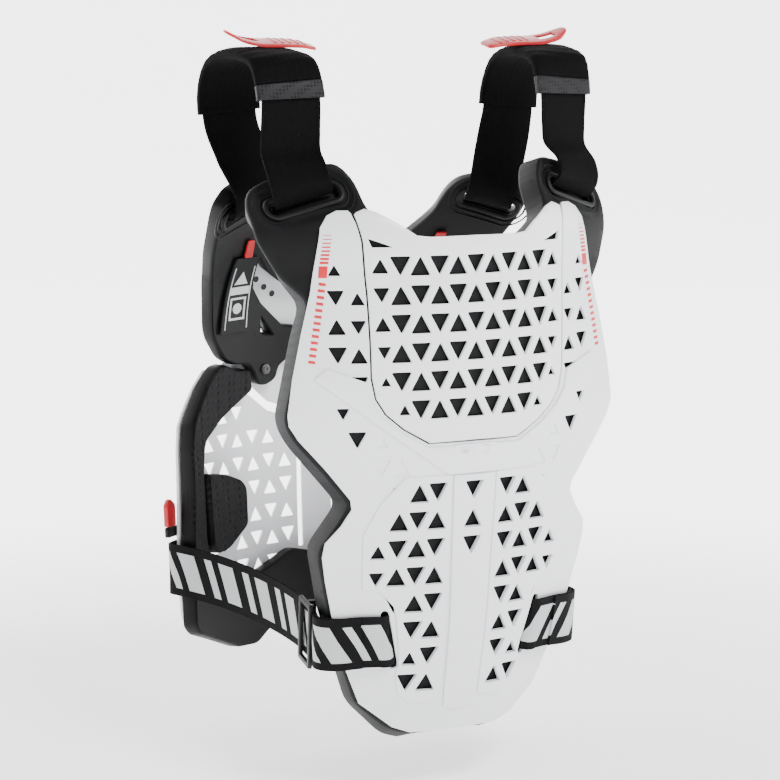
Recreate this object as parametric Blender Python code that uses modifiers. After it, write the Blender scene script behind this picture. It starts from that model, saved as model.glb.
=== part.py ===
"""Chest protector for off-road riding, modelled as it looks when it is worn.

Two hard white shells with black foam behind them wrap the chest and the back.
Two padded straps carry them over the shoulders, and an elastic strap with a
buckle joins them at each side of the waist.

Frame: metres, +Z up, the chest faces -Y, and the wearer's left is +X. The
origin is the shoulder rest, midway between the undersides of the two arches.
"""

import math

import bmesh
import bpy
import numpy as np
from mathutils import Matrix, Vector

# Overall sizes of the chest side
CHEST_HALF_WIDTH = 0.1355
CHEST_HEIGHT = 0.3915
CHEST_DROP = 0.4965
FRONT_REACH = 0.118
FRONT_WRAP = 0.0606

# Overall sizes of the back side
BACK_HALF_WIDTH = 0.145
BACK_HEIGHT = 0.381
BACK_DROP = 0.470
BACK_REACH = 0.1626
BACK_WRAP = 0.0500

# Walls, foam and running gaps
SHELL_WALL = 0.0026
PLATE_WALL = 0.0026
SKIN_GAP = 0.0014
SEAT_GAP = 0.0003
SEAM_GAP = 0.0012
CHEST_FOAM = 0.0200
YOKE_FOAM = 0.0110
RIM_FOAM = 0.0130
LUMBAR_FOAM = 0.0150
FOLD_ACROSS = 0.048
CENTRE_OVERLAP = 0.012

# Vents, which stand on a grid of alternating triangles
VENT_SIDE = 0.0137
VENT_PITCH_X = 0.0143
VENT_PITCH_Z = 0.0208
PLATE_VENT_BASE = 0.2415
LOWER_VENT_BASE = 0.0345
BACK_VENT_SIDE = 0.0117
BACK_VENT_PITCH_X = 0.0154
BACK_VENT_PITCH_Z = 0.0204
BACK_VENT_X = 0.0277
BACK_VENT_BASE = 0.0355

# Shoulder straps
WEBBING_WIDTH = 0.045
WEBBING_WALL = 0.0022
ARCH_RISE = 0.0035
BACK_TAPER = 0.83
SHOULDER_SPREAD = 0.117
SLEEVE_WALL = 0.0016
SLEEVE_PLAY = 0.0009
CUFF_LENGTH = 0.0115
CUFF_WALL = 0.0018
FRONT_SLOT_X = 0.1130
FRONT_SLOT_UP = 0.3995
BACK_SLOT_X = 0.1165
BACK_SLOT_UP = 0.3600
BACK_SLOT_LENGTH = 0.0375
SLOT_LENGTH = 0.0485
SLOT_HEIGHT = 0.0078
SLOT_SLANT = math.radians(18)
RING_RADIUS = 0.0018
PULL_WIDTH = 0.024
PULL_WALL = 0.0022
PULL_SAG = 0.0010
PULL_LEAN = 0.20

# Waist straps
WAIST_WIDTH = 0.041
WAIST_WALL = 0.0018
WAIST_SLOT_X = 0.0585
WAIST_SLOT_UP = 0.0750
WAIST_SLOT_LENGTH = 0.047
WAIST_SLOT_WIDTH = 0.0055
WAIST_SLOT_SLANT = math.radians(14)
GLIDE_HEIGHT = 0.049
GLIDE_WIDTH = 0.030
GLIDE_BAR = 0.0046
GLIDE_WALL = 0.0030
HOOK_WALL = 0.0030
HOOK_RISE = 0.008
TAB_HEIGHT = 0.022
TAB_WALL = 0.0045

# Small fittings
SCREW_RADIUS = 0.0042
SCREW_HEAD = 0.0016
SCREW_X = 0.0545
SCREW_UP = 0.2200
SCREW_HOLE = 0.0026
SCREW_PLAY = 0.0008
TAG_HALF_WIDTH = 0.0165
TAG_HEIGHT = 0.0155
TAG_UP = 0.2050
TAG_WALL = 0.0014
PORT_RADIUS = 0.0026
FLAP_WIDTH = 0.027
FLAP_HEIGHT = 0.070
FLAP_WALL = 0.0015
FLAP_X = 0.0915
FLAP_UP = 0.2530
FLAP_TAB_WIDTH = 0.009
FLAP_TAB_HEIGHT = 0.014
FLAP_TAB_WALL = 0.0020

# The faces the panels lie on: height share, crown share, curl share
FRONT_FORM = (
    (-0.03, 0.73, 1.00),
    (0.06, 0.78, 0.94),
    (0.22, 0.885, 0.745),
    (0.34, 0.925, 0.58),
    (0.54, 0.985, 0.525),
    (0.72, 1.00, 0.61),
    (0.87, 0.995, 0.76),
    (0.99, 0.940, 0.82),
    (1.03, 0.835, 0.82),
    (1.07, 0.745, 0.82),
    (1.12, 0.655, 0.82),
)
BACK_FORM = (
    (-0.01, 0.875, 1.00),
    (0.30, 0.962, 1.00),
    (0.565, 1.00, 1.00),
    (0.775, 0.950, 1.15),
    (0.93, 0.748, 1.45),
    (1.04, 0.600, 1.55),
)

# Height shares at which the panels of a face fold
FRONT_FOLDS = (0.10, 0.24, 0.448, 0.66, 0.871, 0.97, 1.005, 1.04)
BACK_FOLDS = (0.14, 0.36, 0.55, 0.68, 0.78, 0.86, 0.93)

# Outlines as half-width share and height share, from the centre line outward
CHEST_SHELL_EDGE = (
    (0.638, 0.992),
    (0.653, 0.999),
    (0.708, 0.999),
    (0.760, 0.990),
    (0.801, 0.969),
    (0.823, 0.931),
    (0.865, 0.849),
    (0.919, 0.775),
    (0.970, 0.693),
    (0.998, 0.626),
    (0.993, 0.607),
    (0.948, 0.580),
    (0.812, 0.524),
    (0.683, 0.466),
    (0.675, 0.448),
    (0.727, 0.416),
    (0.801, 0.384),
    (0.810, 0.356),
    (0.786, 0.310),
    (0.738, 0.243),
    (0.638, 0.134),
    (0.550, 0.063),
    (0.369, 0.013),
    (0.266, 0.000),
    (0.000, 0.000),
)
SEAM_EDGE = (
    (0.000, 0.567),
    (0.273, 0.567),
    (0.417, 0.596),
    (0.513, 0.625),
    (0.565, 0.654),
    (0.587, 0.693),
    (0.590, 0.757),
    (0.600, 0.847),
    (0.616, 0.944),
    (0.638, 0.992),
)
PLATE_TOP_EDGE = (
    (0.616, 0.996),
    (0.572, 1.002),
    (0.517, 0.996),
    (0.402, 0.971),
    (0.332, 0.953),
    (0.258, 0.950),
    (0.000, 0.951),
)

# Chest foam: half-width and height shares of its front edge, then its back edge
CHEST_PAD_EDGE = (
    (0.000, 0.937, 0.000, 0.928),
    (0.317, 0.937, 0.317, 0.928),
    (0.443, 0.967, 0.428, 0.962),
    (0.548, 1.003, 0.534, 1.008),
    (0.572, 1.058, 0.557, 1.063),
    (0.640, 1.088, 0.625, 1.094),
    (0.800, 1.078, 0.800, 1.086),
    (1.000, 1.054, 1.015, 1.061),
    (1.082, 1.036, 1.104, 1.041),
    (1.115, 1.006, 1.138, 1.008),
    (1.096, 0.941, 1.114, 0.941),
    (1.011, 0.880, 1.030, 0.875),
    (0.878, 0.834, 0.945, 0.829),
    (0.919, 0.775, 0.993, 0.770),
    (0.967, 0.693, 1.037, 0.693),
    (1.011, 0.625, 1.077, 0.621),
    (1.007, 0.602, 1.059, 0.590),
    (0.959, 0.572, 1.004, 0.556),
    (0.819, 0.515, 0.860, 0.494),
    (0.690, 0.458, 0.768, 0.455),
    (0.694, 0.446, 0.768, 0.437),
    (0.753, 0.407, 0.823, 0.405),
    (0.819, 0.374, 0.882, 0.370),
    (0.827, 0.351, 0.889, 0.349),
    (0.753, 0.241, 0.827, 0.241),
    (0.653, 0.134, 0.723, 0.130),
    (0.565, 0.057, 0.627, 0.042),
    (0.384, 0.006, 0.413, -0.027),
    (0.266, -0.006, 0.295, -0.038),
    (0.133, -0.005, 0.133, -0.019),
    (0.000, -0.005, 0.000, -0.011),
)

# Back panels, as shares of the back half width and the back height
YOKE_EDGE = (
    (0.000, 0.792),
    (0.300, 0.818),
    (0.417, 0.858),
    (0.510, 0.900),
    (0.555, 0.925),
    (0.570, 0.950),
    (0.597, 0.975),
    (0.640, 0.990),
    (0.780, 1.000),
    (0.905, 0.984),
    (0.965, 0.954),
    (0.960, 0.925),
    (0.910, 0.861),
    (0.850, 0.804),
    (0.806, 0.733),
    (0.790, 0.677),
    (0.769, 0.654),
    (0.687, 0.610),
    (0.600, 0.593),
    (0.493, 0.592),
    (0.455, 0.572),
    (0.427, 0.545),
    (0.363, 0.540),
    (0.290, 0.553),
    (0.272, 0.580),
    (0.150, 0.605),
    (0.000, 0.610),
)
YOKE_WINDOW_EDGE = (
    (0.000, 0.745),
    (0.250, 0.762),
    (0.400, 0.800),
    (0.480, 0.835),
    (0.500, 0.826),
    (0.480, 0.765),
    (0.407, 0.724),
    (0.247, 0.669),
    (0.000, 0.655),
)
YOKE_GAP_EDGE = (
    (0.405, 0.690),
    (0.400, 0.655),
    (0.320, 0.650),
)
UPPER_SHELL_EDGE = (
    (0.000, 0.775),
    (0.333, 0.815),
    (0.567, 0.865),
    (0.693, 0.868),
    (0.723, 0.722),
    (0.687, 0.638),
    (0.600, 0.612),
    (0.447, 0.609),
    (0.437, 0.545),
    (0.411, 0.539),
    (0.289, 0.500),
    (0.000, 0.464),
)
LOWER_SHELL_EDGE = (
    (0.000, 0.443),
    (0.297, 0.481),
    (0.440, 0.524),
    (0.453, 0.600),
    (0.545, 0.603),
    (0.667, 0.584),
    (0.752, 0.586),
    (0.832, 0.553),
    (0.915, 0.505),
    (0.952, 0.478),
    (0.968, 0.425),
    (0.975, 0.345),
    (1.000, 0.180),
    (0.993, 0.095),
    (0.960, 0.068),
    (0.840, 0.040),
    (0.667, 0.014),
    (0.510, 0.016),
    (0.420, 0.045),
    (0.200, 0.060),
    (0.000, 0.060),
)
SPINE_SLIT_EDGE = (
    (0.082, 0.395),
    (0.113, 0.395),
    (0.128, 0.185),
    (0.097, 0.185),
)
BACK_PAD_EDGE = (
    (0.490, 0.580),
    (0.597, 0.583),
    (0.677, 0.598),
    (0.745, 0.594),
    (0.828, 0.562),
    (0.911, 0.508),
    (0.948, 0.482),
    (0.966, 0.430),
    (0.973, 0.341),
    (1.000, 0.185),
    (1.015, 0.075),
    (0.975, 0.055),
    (0.847, 0.034),
    (0.663, 0.003),
    (0.525, 0.001),
    (0.430, 0.025),
    (0.333, 0.050),
    (0.180, 0.062),
    (0.000, 0.062),
)
BACK_PAD_WINDOW_EDGE = (
    (0.000, 0.168),
    (0.187, 0.184),
    (0.231, 0.186),
    (0.353, 0.165),
    (0.485, 0.146),
    (0.660, 0.150),
    (0.830, 0.165),
    (0.876, 0.240),
    (0.876, 0.380),
    (0.865, 0.412),
    (0.851, 0.442),
    (0.787, 0.460),
    (0.719, 0.482),
    (0.595, 0.509),
    (0.477, 0.535),
)
LUMBAR_EDGE = (
    (0.858, 0.376),
    (0.700, 0.366),
    (0.597, 0.351),
    (0.557, 0.332),
    (0.557, 0.260),
    (0.570, 0.249),
    (0.706, 0.213),
    (0.775, 0.204),
    (0.846, 0.225),
)

# Shoulder strap route: spread share, share from front slot to back slot,
# and share of the rise from the slots to the top of the arch
ARCH_ROUTE = (
    (0.976, 0.122, 0.360),
    (0.972, 0.127, 0.480),
    (0.970, 0.130, 0.724),
    (0.979, 0.205, 0.924),
    (1.000, 0.414, 0.996),
    (1.017, 0.614, 0.996),
    (1.030, 0.798, 0.920),
    (1.030, 0.896, 0.762),
    (1.015, 0.907, 0.562),
    (0.950, 0.872, 0.340),
)
# Strap ends at a slot: rise over the slot and stand-off from the foam
SLOT_APPROACH = (
    (0.0160, 0.0114),
    (0.0090, 0.0111),
    (0.0038, 0.0078),
    (0.0018, 0.0024),
    (0.0012, -0.0026),
)
STRAP_SKEW = 0.35
STRAP_END_STEPS = 9
STRAP_END_EASE = 1.6
SLEEVE_STEPS = 8
SLEEVE_FROM = 0.298
SLEEVE_TO = 0.700

# Waist strap route: width share, height share and depth as a share of the foam,
# first on the chest face and then on the back face
WAIST_FRONT_ROUTE = (
    (0.428, 0.191, 0.110),
    (0.437, 0.191, -0.040),
    (0.458, 0.192, -0.125),
    (0.500, 0.193, -0.165),
    (0.582, 0.193, -0.180),
    (0.695, 0.191, -0.230),
    (0.778, 0.189, -0.030),
    (0.802, 0.185, 0.500),
    (0.827, 0.179, 1.075),
    (0.880, 0.170, 2.000),
)
WAIST_BACK_ROUTE = (
    (1.026, 0.180, 1.200),
    (1.034, 0.190, 0.400),
    (1.022, 0.194, -0.160),
    (0.972, 0.194, -0.295),
    (0.860, 0.194, -0.295),
)
# Shares of the waist strap's length at which it bends
WAIST_FOLDS = (
    0.0, 0.012, 0.026, 0.045, 0.080, 0.120, 0.150, 0.175, 0.200, 0.240, 0.360,
    0.440, 0.520, 0.600, 0.680, 0.760, 0.820, 0.860, 0.890, 0.920, 0.950, 1.0,
)
GLIDE_FROM = 0.240
GLIDE_TO = 0.360
REAR_LEAN_FROM = 0.760
PULL_ROUTE = (
    (0.00, 0.620, -0.030),
    (0.16, 0.730, -0.004),
    (0.35, 0.860, 0.004),
    (0.60, 1.010, 0.008),
    (0.82, 1.130, 0.030),
    (1.00, 1.225, 0.070),
)

# The wearer's sides and their signs along X
SIDES = (("right", -1), ("left", 1))

# Colours of the materials
WHITE_PLASTIC = (0.86, 0.87, 0.89, 1.0)
BLACK_FOAM = (0.030, 0.031, 0.033, 1.0)
BLACK_RUBBER = (0.018, 0.018, 0.019, 1.0)
BLACK_WEBBING = (0.010, 0.010, 0.011, 1.0)
BLACK_PLASTIC = (0.022, 0.022, 0.024, 1.0)
RED_RUBBER = (0.62, 0.022, 0.030, 1.0)
STEEL = (0.10, 0.10, 0.11, 1.0)


class Face:
    """A curved face that panels lie on, as y over x and height."""

    def __init__(self, side, reach, wrap, half_width, drop, height, form, folds):
        self.side = side
        self.reach = reach
        self.wrap = wrap
        self.half_width = half_width
        self.drop = drop
        self.height = height
        self.form = np.array(form)
        self.folds = folds

    def place(self, x_share, z_share):
        """Turn outline shares into x and z."""
        return x_share * self.half_width, z_share * self.height - self.drop

    def y(self, x, z):
        """The outer face at x and z."""
        share = (z + self.drop) / self.height
        crown = cubic(self.form[:, 0], self.form[:, 1], share)
        curl = cubic(self.form[:, 0], self.form[:, 2], share)
        sag = self.wrap * curl * (x / self.half_width) ** 2
        return self.side * (self.reach * crown - sag)

    def point(self, x, z, depth=0.0):
        """A point at a depth under the outer face, towards the wearer."""
        step = 0.001
        slope_x = (self.y(x + step, z) - self.y(x - step, z)) / (2 * step)
        slope_z = (self.y(x, z + step) - self.y(x, z - step)) / (2 * step)
        inward = Vector((-slope_x, 1.0, -slope_z)).normalized() * -self.side
        return Vector((x, self.y(x, z), z)) + inward * depth


def cubic(knots, values, at):
    """Read a smooth curve through the knots, straight beyond its ends."""
    slopes = np.gradient(values, knots)
    if at <= knots[0]:
        return values[0] + slopes[0] * (at - knots[0])
    if at >= knots[-1]:
        return values[-1] + slopes[-1] * (at - knots[-1])
    i = int(np.searchsorted(knots, at)) - 1
    span = knots[i + 1] - knots[i]
    t = (at - knots[i]) / span
    return (
        (2 * t**3 - 3 * t**2 + 1) * values[i]
        + (t**3 - 2 * t**2 + t) * span * slopes[i]
        + (3 * t**2 - 2 * t**3) * values[i + 1]
        + (t**3 - t**2) * span * slopes[i + 1]
    )


FRONT = Face(
    -1, FRONT_REACH, FRONT_WRAP, CHEST_HALF_WIDTH, CHEST_DROP, CHEST_HEIGHT, FRONT_FORM, FRONT_FOLDS
)
BACK = Face(
    1, BACK_REACH, BACK_WRAP, BACK_HALF_WIDTH, BACK_DROP, BACK_HEIGHT, BACK_FORM, BACK_FOLDS
)


# Scene, materials and objects

def clear_scene():
    """Remove every object of the start-up scene."""
    for thing in list(bpy.data.objects):
        bpy.data.objects.remove(thing, do_unlink=True)


def make_collection(name, hidden=False):
    """Add a collection to the scene."""
    collection = bpy.data.collections.new(name)
    bpy.context.scene.collection.children.link(collection)
    collection.hide_render = hidden
    return collection


def make_material(name, colour, roughness, metallic=0.0):
    """A plain material with the part's colour and finish."""
    material = bpy.data.materials.new(name)
    material.use_nodes = True
    shader = material.node_tree.nodes["Principled BSDF"]
    shader.inputs["Base Color"].default_value = colour
    shader.inputs["Roughness"].default_value = roughness
    shader.inputs["Metallic"].default_value = metallic
    material.diffuse_color = colour
    return material


def add_object(name, mesh, finish, collection):
    """Put a mesh in the scene under its node's name, with its own material."""
    colour, roughness = finish
    thing = bpy.data.objects.new(name, mesh)
    collection.objects.link(thing)
    mesh.materials.clear()
    mesh.materials.append(make_material(name, colour, roughness))
    return thing


def add_mirror(thing):
    """Complete a half that is open at the centre plane."""
    mirror = thing.modifiers.new("Mirror", "MIRROR")
    mirror.use_axis = (True, False, False)
    mirror.merge_threshold = 0.0001


def add_solidify(thing, thickness):
    """Thicken an open sheet towards the back of its faces."""
    solid = thing.modifiers.new("Wall", "SOLIDIFY")
    solid.thickness = thickness
    solid.offset = -1.0


# Flat sheets, filled from outlines in x and z

def filled(loops):
    """Fill closed loops, the first the outline and the others its holes."""
    curve = bpy.data.curves.new("outline", "CURVE")
    curve.dimensions = "2D"
    curve.fill_mode = "BOTH"
    for loop in loops:
        spline = curve.splines.new("POLY")
        spline.points.add(len(loop) - 1)
        spline.use_cyclic_u = True
        for point, (x, z) in zip(spline.points, loop):
            point.co = (x, z, 0.0, 1.0)
    guide = bpy.data.objects.new("outline", curve)
    bpy.context.scene.collection.objects.link(guide)
    graph = bpy.context.evaluated_depsgraph_get()
    mesh = bpy.data.meshes.new_from_object(guide.evaluated_get(graph))
    bpy.data.objects.remove(guide, do_unlink=True)
    sheet = bmesh.new()
    sheet.from_mesh(mesh)
    bpy.data.meshes.remove(mesh)
    bmesh.ops.remove_doubles(sheet, verts=sheet.verts, dist=0.00001)
    bmesh.ops.rotate(sheet, verts=sheet.verts, matrix=Matrix.Rotation(math.pi / 2, 3, "X"))
    return sheet


def fold(sheet, face, half):
    """Cut a sheet along the fold lines that all panels of a face share."""
    stations = [(Vector((n * FOLD_ACROSS, 0, 0)), Vector((1, 0, 0))) for n in range(-8, 9)]
    stations += [
        (Vector((0, 0, face.place(0, share)[1])), Vector((0, 0, 1))) for share in face.folds
    ]
    for at, normal in stations:
        parts = sheet.verts[:] + sheet.edges[:] + sheet.faces[:]
        clear = half and normal.x == 1 and at.x == 0
        bmesh.ops.bisect_plane(
            sheet, geom=parts, dist=0.000001, plane_co=at, plane_no=normal, clear_inner=clear
        )
    bmesh.ops.triangulate(sheet, faces=sheet.faces[:])


def drape(sheet, face, depth):
    """Lay a flat sheet on a face, with its normals away from the wearer."""
    for vert in sheet.verts:
        vert.co = face.point(vert.co.x, vert.co.z, depth)
    bmesh.ops.recalc_face_normals(sheet, faces=sheet.faces[:])
    facing = sum(piece.normal.y * piece.calc_area() for piece in sheet.faces)
    if facing * face.side < 0:
        bmesh.ops.reverse_faces(sheet, faces=sheet.faces[:])


def close_half(loop, overlap=CENTRE_OVERLAP):
    """Close a half outline a little past the centre plane."""
    points = list(loop)
    return [(-overlap, points[0][1])] + points + [(-overlap, points[-1][1])]


def placed(face, table):
    """Turn a table of outline shares into x and z."""
    return [face.place(x, z) for x, z in table]


def shell_object(name, loops, face, depth, wall, finish, collection, half=True):
    """A thin panel that lies on a face."""
    sheet = filled(loops)
    fold(sheet, face, half)
    drape(sheet, face, depth)
    mesh = bpy.data.meshes.new(name)
    sheet.to_mesh(mesh)
    sheet.free()
    thing = add_object(name, mesh, finish, collection)
    if half:
        for vert in mesh.vertices:
            if abs(vert.co.x) < 0.00002:
                vert.co.x = 0.0
        add_mirror(thing)
    add_solidify(thing, wall)
    return thing


def pad_object(name, loops, face, depth, foam, finish, collection, half=True, back_edge=None):
    """A thick panel, whose back edge may stand wider than its front edge."""
    sheet = filled(loops)
    fold(sheet, face, half)
    grown = bmesh.ops.extrude_face_region(sheet, geom=sheet.faces[:], use_keep_orig=True)
    copies = [item for item in grown["geom"] if isinstance(item, bmesh.types.BMVert)]
    fronts = [vert for vert in sheet.verts if vert not in set(copies)]
    spots = {vert: (vert.co.x, vert.co.z) for vert in sheet.verts}
    for vert in fronts:
        vert.co = face.point(*spots[vert], depth)
    for vert in copies:
        x, z = spots[vert]
        if back_edge:
            x, z = flared(x, z, loops[0], back_edge)
        vert.co = face.point(x, z, depth + foam)
    if half:
        middle = [
            piece for piece in sheet.faces
            if all(abs(spots[vert][0]) < 0.00002 for vert in piece.verts)
        ]
        bmesh.ops.delete(sheet, geom=middle, context="FACES")
        for vert in sheet.verts:
            if abs(spots[vert][0]) < 0.00002:
                vert.co.x = 0.0
    bmesh.ops.recalc_face_normals(sheet, faces=sheet.faces[:])
    mesh = bpy.data.meshes.new(name)
    sheet.to_mesh(mesh)
    sheet.free()
    thing = add_object(name, mesh, finish, collection)
    if half:
        add_mirror(thing)
    return thing


def flared(x, z, front_edge, back_edge):
    """Move a point on the front outline to its place on the back outline."""
    here = np.array((x, z))
    for i in range(len(front_edge)):
        a = np.array(front_edge[i - 1])
        b = np.array(front_edge[i])
        run = b - a
        length = float(run @ run)
        share = float((here - a) @ run) / length if length > 0 else 0.0
        if -0.0001 <= share <= 1.0001 and np.linalg.norm(a + run * share - here) < 0.00003:
            start = np.array(back_edge[i - 1])
            end = np.array(back_edge[i])
            moved = start + (end - start) * share
            return float(moved[0]), float(moved[1])
    return x, z


# Holes

def vent(x, z, side, up):
    """A triangle that stands on its base or on its tip, from its lowest height."""
    tall = side * math.sqrt(3) / 2
    base, tip = (z, z + tall) if up else (z + tall, z)
    return [(x - side / 2, base), (x + side / 2, base), (x, tip)]


def slot(x, z, length, height, slant, steps=3):
    """A round-ended slot, slanted in the plane of x and z."""
    points = []
    for end in (1, -1):
        for i in range(steps + 1):
            turn = -math.pi / 2 + math.pi * i / steps
            along = end * (length / 2 - height / 2 + math.cos(turn) * height / 2)
            across = end * math.sin(turn) * height / 2
            points.append((along, across))
        points.append((0.0, end * height / 2))
    cos, sin = math.cos(slant), math.sin(slant)
    return [(x + a * cos - b * sin, z + a * sin + b * cos) for a, b in points]


def ring_of(x, z, radius, steps=6):
    """A round hole."""
    turns = [2 * math.pi * i / steps for i in range(steps)]
    return [(x + radius * math.cos(turn), z + radius * math.sin(turn)) for turn in turns]


def plate_vents():
    """Six rows of alternating triangles in the inset chest plate."""
    holes = []
    for row, reach in enumerate((3, 4, 4, 4, 4, 4)):
        z = PLATE_VENT_BASE - CHEST_DROP + row * VENT_PITCH_Z
        for column in range(-1, reach + 1):
            up = (row + column) % 2 == 0
            holes.append(vent(column * VENT_PITCH_X, z, VENT_SIDE, up))
    return [hole for hole in holes if max(x for x, _ in hole) > 0]


def lower_vents():
    """Rows of triangles beside the spine strip, and three above its middle."""
    holes = []
    for row, last in enumerate((3, 2, 3, 3, 5, 5, 4, 3)):
        z = LOWER_VENT_BASE - CHEST_DROP + row * VENT_PITCH_Z
        for column in range(2, last + 1):
            up = (row + column) % 2 == 0
            holes.append(vent(column * VENT_PITCH_X, z, VENT_SIDE, up))
    for row in (5, 6, 7):
        z = LOWER_VENT_BASE - CHEST_DROP + row * VENT_PITCH_Z
        holes.append(vent(0.0, z, VENT_SIDE, row % 2 == 0))
    return holes


def back_vents():
    """Rows of smaller triangles in the lower back shell."""
    holes = []
    for row, (first, last) in enumerate(((0, 2), (0, 1), (0, 1), (0, 1), (0, 1), (2, 2))):
        z = BACK_VENT_BASE - BACK_DROP + (row + 2) * BACK_VENT_PITCH_Z
        for column in range(first, last + 1):
            up = (row + column) % 2 == 1
            x = BACK_VENT_X + column * BACK_VENT_PITCH_X
            holes.append(vent(x, z, BACK_VENT_SIDE, up))
    return holes


def front_slot_loop(grow=0.0):
    """The shoulder slot in the chest foam."""
    z = FRONT_SLOT_UP - CHEST_DROP
    return slot(FRONT_SLOT_X, z, SLOT_LENGTH + grow, SLOT_HEIGHT + grow, -SLOT_SLANT)


def back_slot_loop(grow=0.0):
    """The shoulder slot in the back yoke."""
    z = BACK_SLOT_UP - BACK_DROP
    return slot(BACK_SLOT_X, z, BACK_SLOT_LENGTH + grow, SLOT_HEIGHT + grow, -SLOT_SLANT)


def waist_slot_loop():
    """The slanted slot in the chest shell that takes a waist strap."""
    z = WAIST_SLOT_UP - CHEST_DROP
    slant = math.pi / 2 - WAIST_SLOT_SLANT
    return slot(WAIST_SLOT_X, z, WAIST_SLOT_LENGTH, WAIST_SLOT_WIDTH, slant)


# Chest side

def build_chest_shell(parts):
    """The white chest shell, open where the inset plate sits."""
    edge = placed(FRONT, CHEST_SHELL_EDGE)
    seam = placed(FRONT, SEAM_EDGE)
    outline = [seam[0]] + seam[1:] + edge
    outline = close_half(outline)
    holes = lower_vents() + [waist_slot_loop()]
    finish = (WHITE_PLASTIC, 0.28)
    shell_object("chest_shell", [outline] + holes, FRONT, 0.0, SHELL_WALL, finish, parts)


def build_chest_plate(parts):
    """The inset chest plate, a seam's width inside the shell."""
    seam = placed(FRONT, SEAM_EDGE)
    inset = [(max(x - SEAM_GAP, 0.0), z + SEAM_GAP * (1 - x / seam[-1][0])) for x, z in seam]
    outline = close_half(inset + placed(FRONT, PLATE_TOP_EDGE))
    finish = (WHITE_PLASTIC, 0.28)
    loops = [outline] + plate_vents()
    shell_object("chest_plate", loops, FRONT, 0.0, PLATE_WALL, finish, parts)


def build_chest_tag(parts):
    """The small plain plate on the shell below the inset plate."""
    low = TAG_UP - CHEST_DROP
    narrow = TAG_HALF_WIDTH * 0.86
    outline = [
        (narrow, low), (TAG_HALF_WIDTH, low + TAG_HEIGHT),
        (-TAG_HALF_WIDTH, low + TAG_HEIGHT), (-narrow, low),
    ]
    depth = -TAG_WALL - SEAT_GAP
    finish = (WHITE_PLASTIC, 0.35)
    shell_object("chest_tag", [outline], FRONT, depth, TAG_WALL, finish, parts, half=False)


def build_chest_pad(parts):
    """The foam behind the chest shell, with its yokes and flared sides."""
    front_edge = close_half([FRONT.place(row[0], row[1]) for row in CHEST_PAD_EDGE])
    back_edge = close_half([FRONT.place(row[2], row[3]) for row in CHEST_PAD_EDGE])
    loops = [front_edge, front_slot_loop()]
    finish = (BLACK_FOAM, 0.62)
    depth = SHELL_WALL + SKIN_GAP
    pad_object("chest_pad", loops, FRONT, depth, CHEST_FOAM, finish, parts, back_edge=back_edge)


# Back side

def build_back_shells(parts):
    """The upper and lower white back shells."""
    finish = (WHITE_PLASTIC, 0.30)
    upper = close_half(placed(BACK, UPPER_SHELL_EDGE))
    ports = [ring_of(BACK_HALF_WIDTH * x, BACK_HEIGHT * z - BACK_DROP, PORT_RADIUS)
             for x, z in ((0.396, 0.768), (0.335, 0.749), (0.275, 0.733))]
    gap = placed(BACK, YOKE_GAP_EDGE)
    screw = ring_of(SCREW_X, SCREW_UP - BACK_DROP, SCREW_HOLE)
    loops = [upper] + ports + [gap, screw]
    shell_object("back_shell_upper", loops, BACK, 0.0, SHELL_WALL, finish, parts)
    lower = close_half(placed(BACK, LOWER_SHELL_EDGE))
    loops = [lower, placed(BACK, SPINE_SLIT_EDGE)] + back_vents()
    shell_object("back_shell_lower", loops, BACK, 0.0, SHELL_WALL, finish, parts)


def build_back_yoke(parts):
    """The foam yoke inside the upper back, with its window and strap slots."""
    outline = close_half(placed(BACK, YOKE_EDGE))
    window = close_half(placed(BACK, YOKE_WINDOW_EDGE), CENTRE_OVERLAP / 2)
    gap = placed(BACK, YOKE_GAP_EDGE)
    screw = ring_of(SCREW_X, SCREW_UP - BACK_DROP, SCREW_HOLE)
    loops = [outline, window, gap, screw, back_slot_loop()]
    finish = (BLACK_RUBBER, 0.55)
    depth = SHELL_WALL + SKIN_GAP
    pad_object("back_yoke", loops, BACK, depth, YOKE_FOAM, finish, parts)


def build_back_pad(parts):
    """The foam rim inside the lower back shell."""
    outline = placed(BACK, BACK_PAD_EDGE)
    window = placed(BACK, BACK_PAD_WINDOW_EDGE)
    loop = close_half(window + outline)
    finish = (BLACK_FOAM, 0.60)
    depth = SHELL_WALL + SKIN_GAP
    pad_object("back_pad", [loop], BACK, depth, RIM_FOAM, finish, parts)



def build_lumbar_pads(parts):
    """The two textured pads inside the lower back shell."""
    finish = (BLACK_FOAM, 0.70)
    depth = SHELL_WALL + SKIN_GAP
    for side, sign in SIDES:
        loop = mirrored(placed(BACK, LUMBAR_EDGE), sign)
        name = "lumbar_pad_" + side
        pad_object(name, [loop], BACK, depth, LUMBAR_FOAM, finish, parts, half=False)


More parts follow.
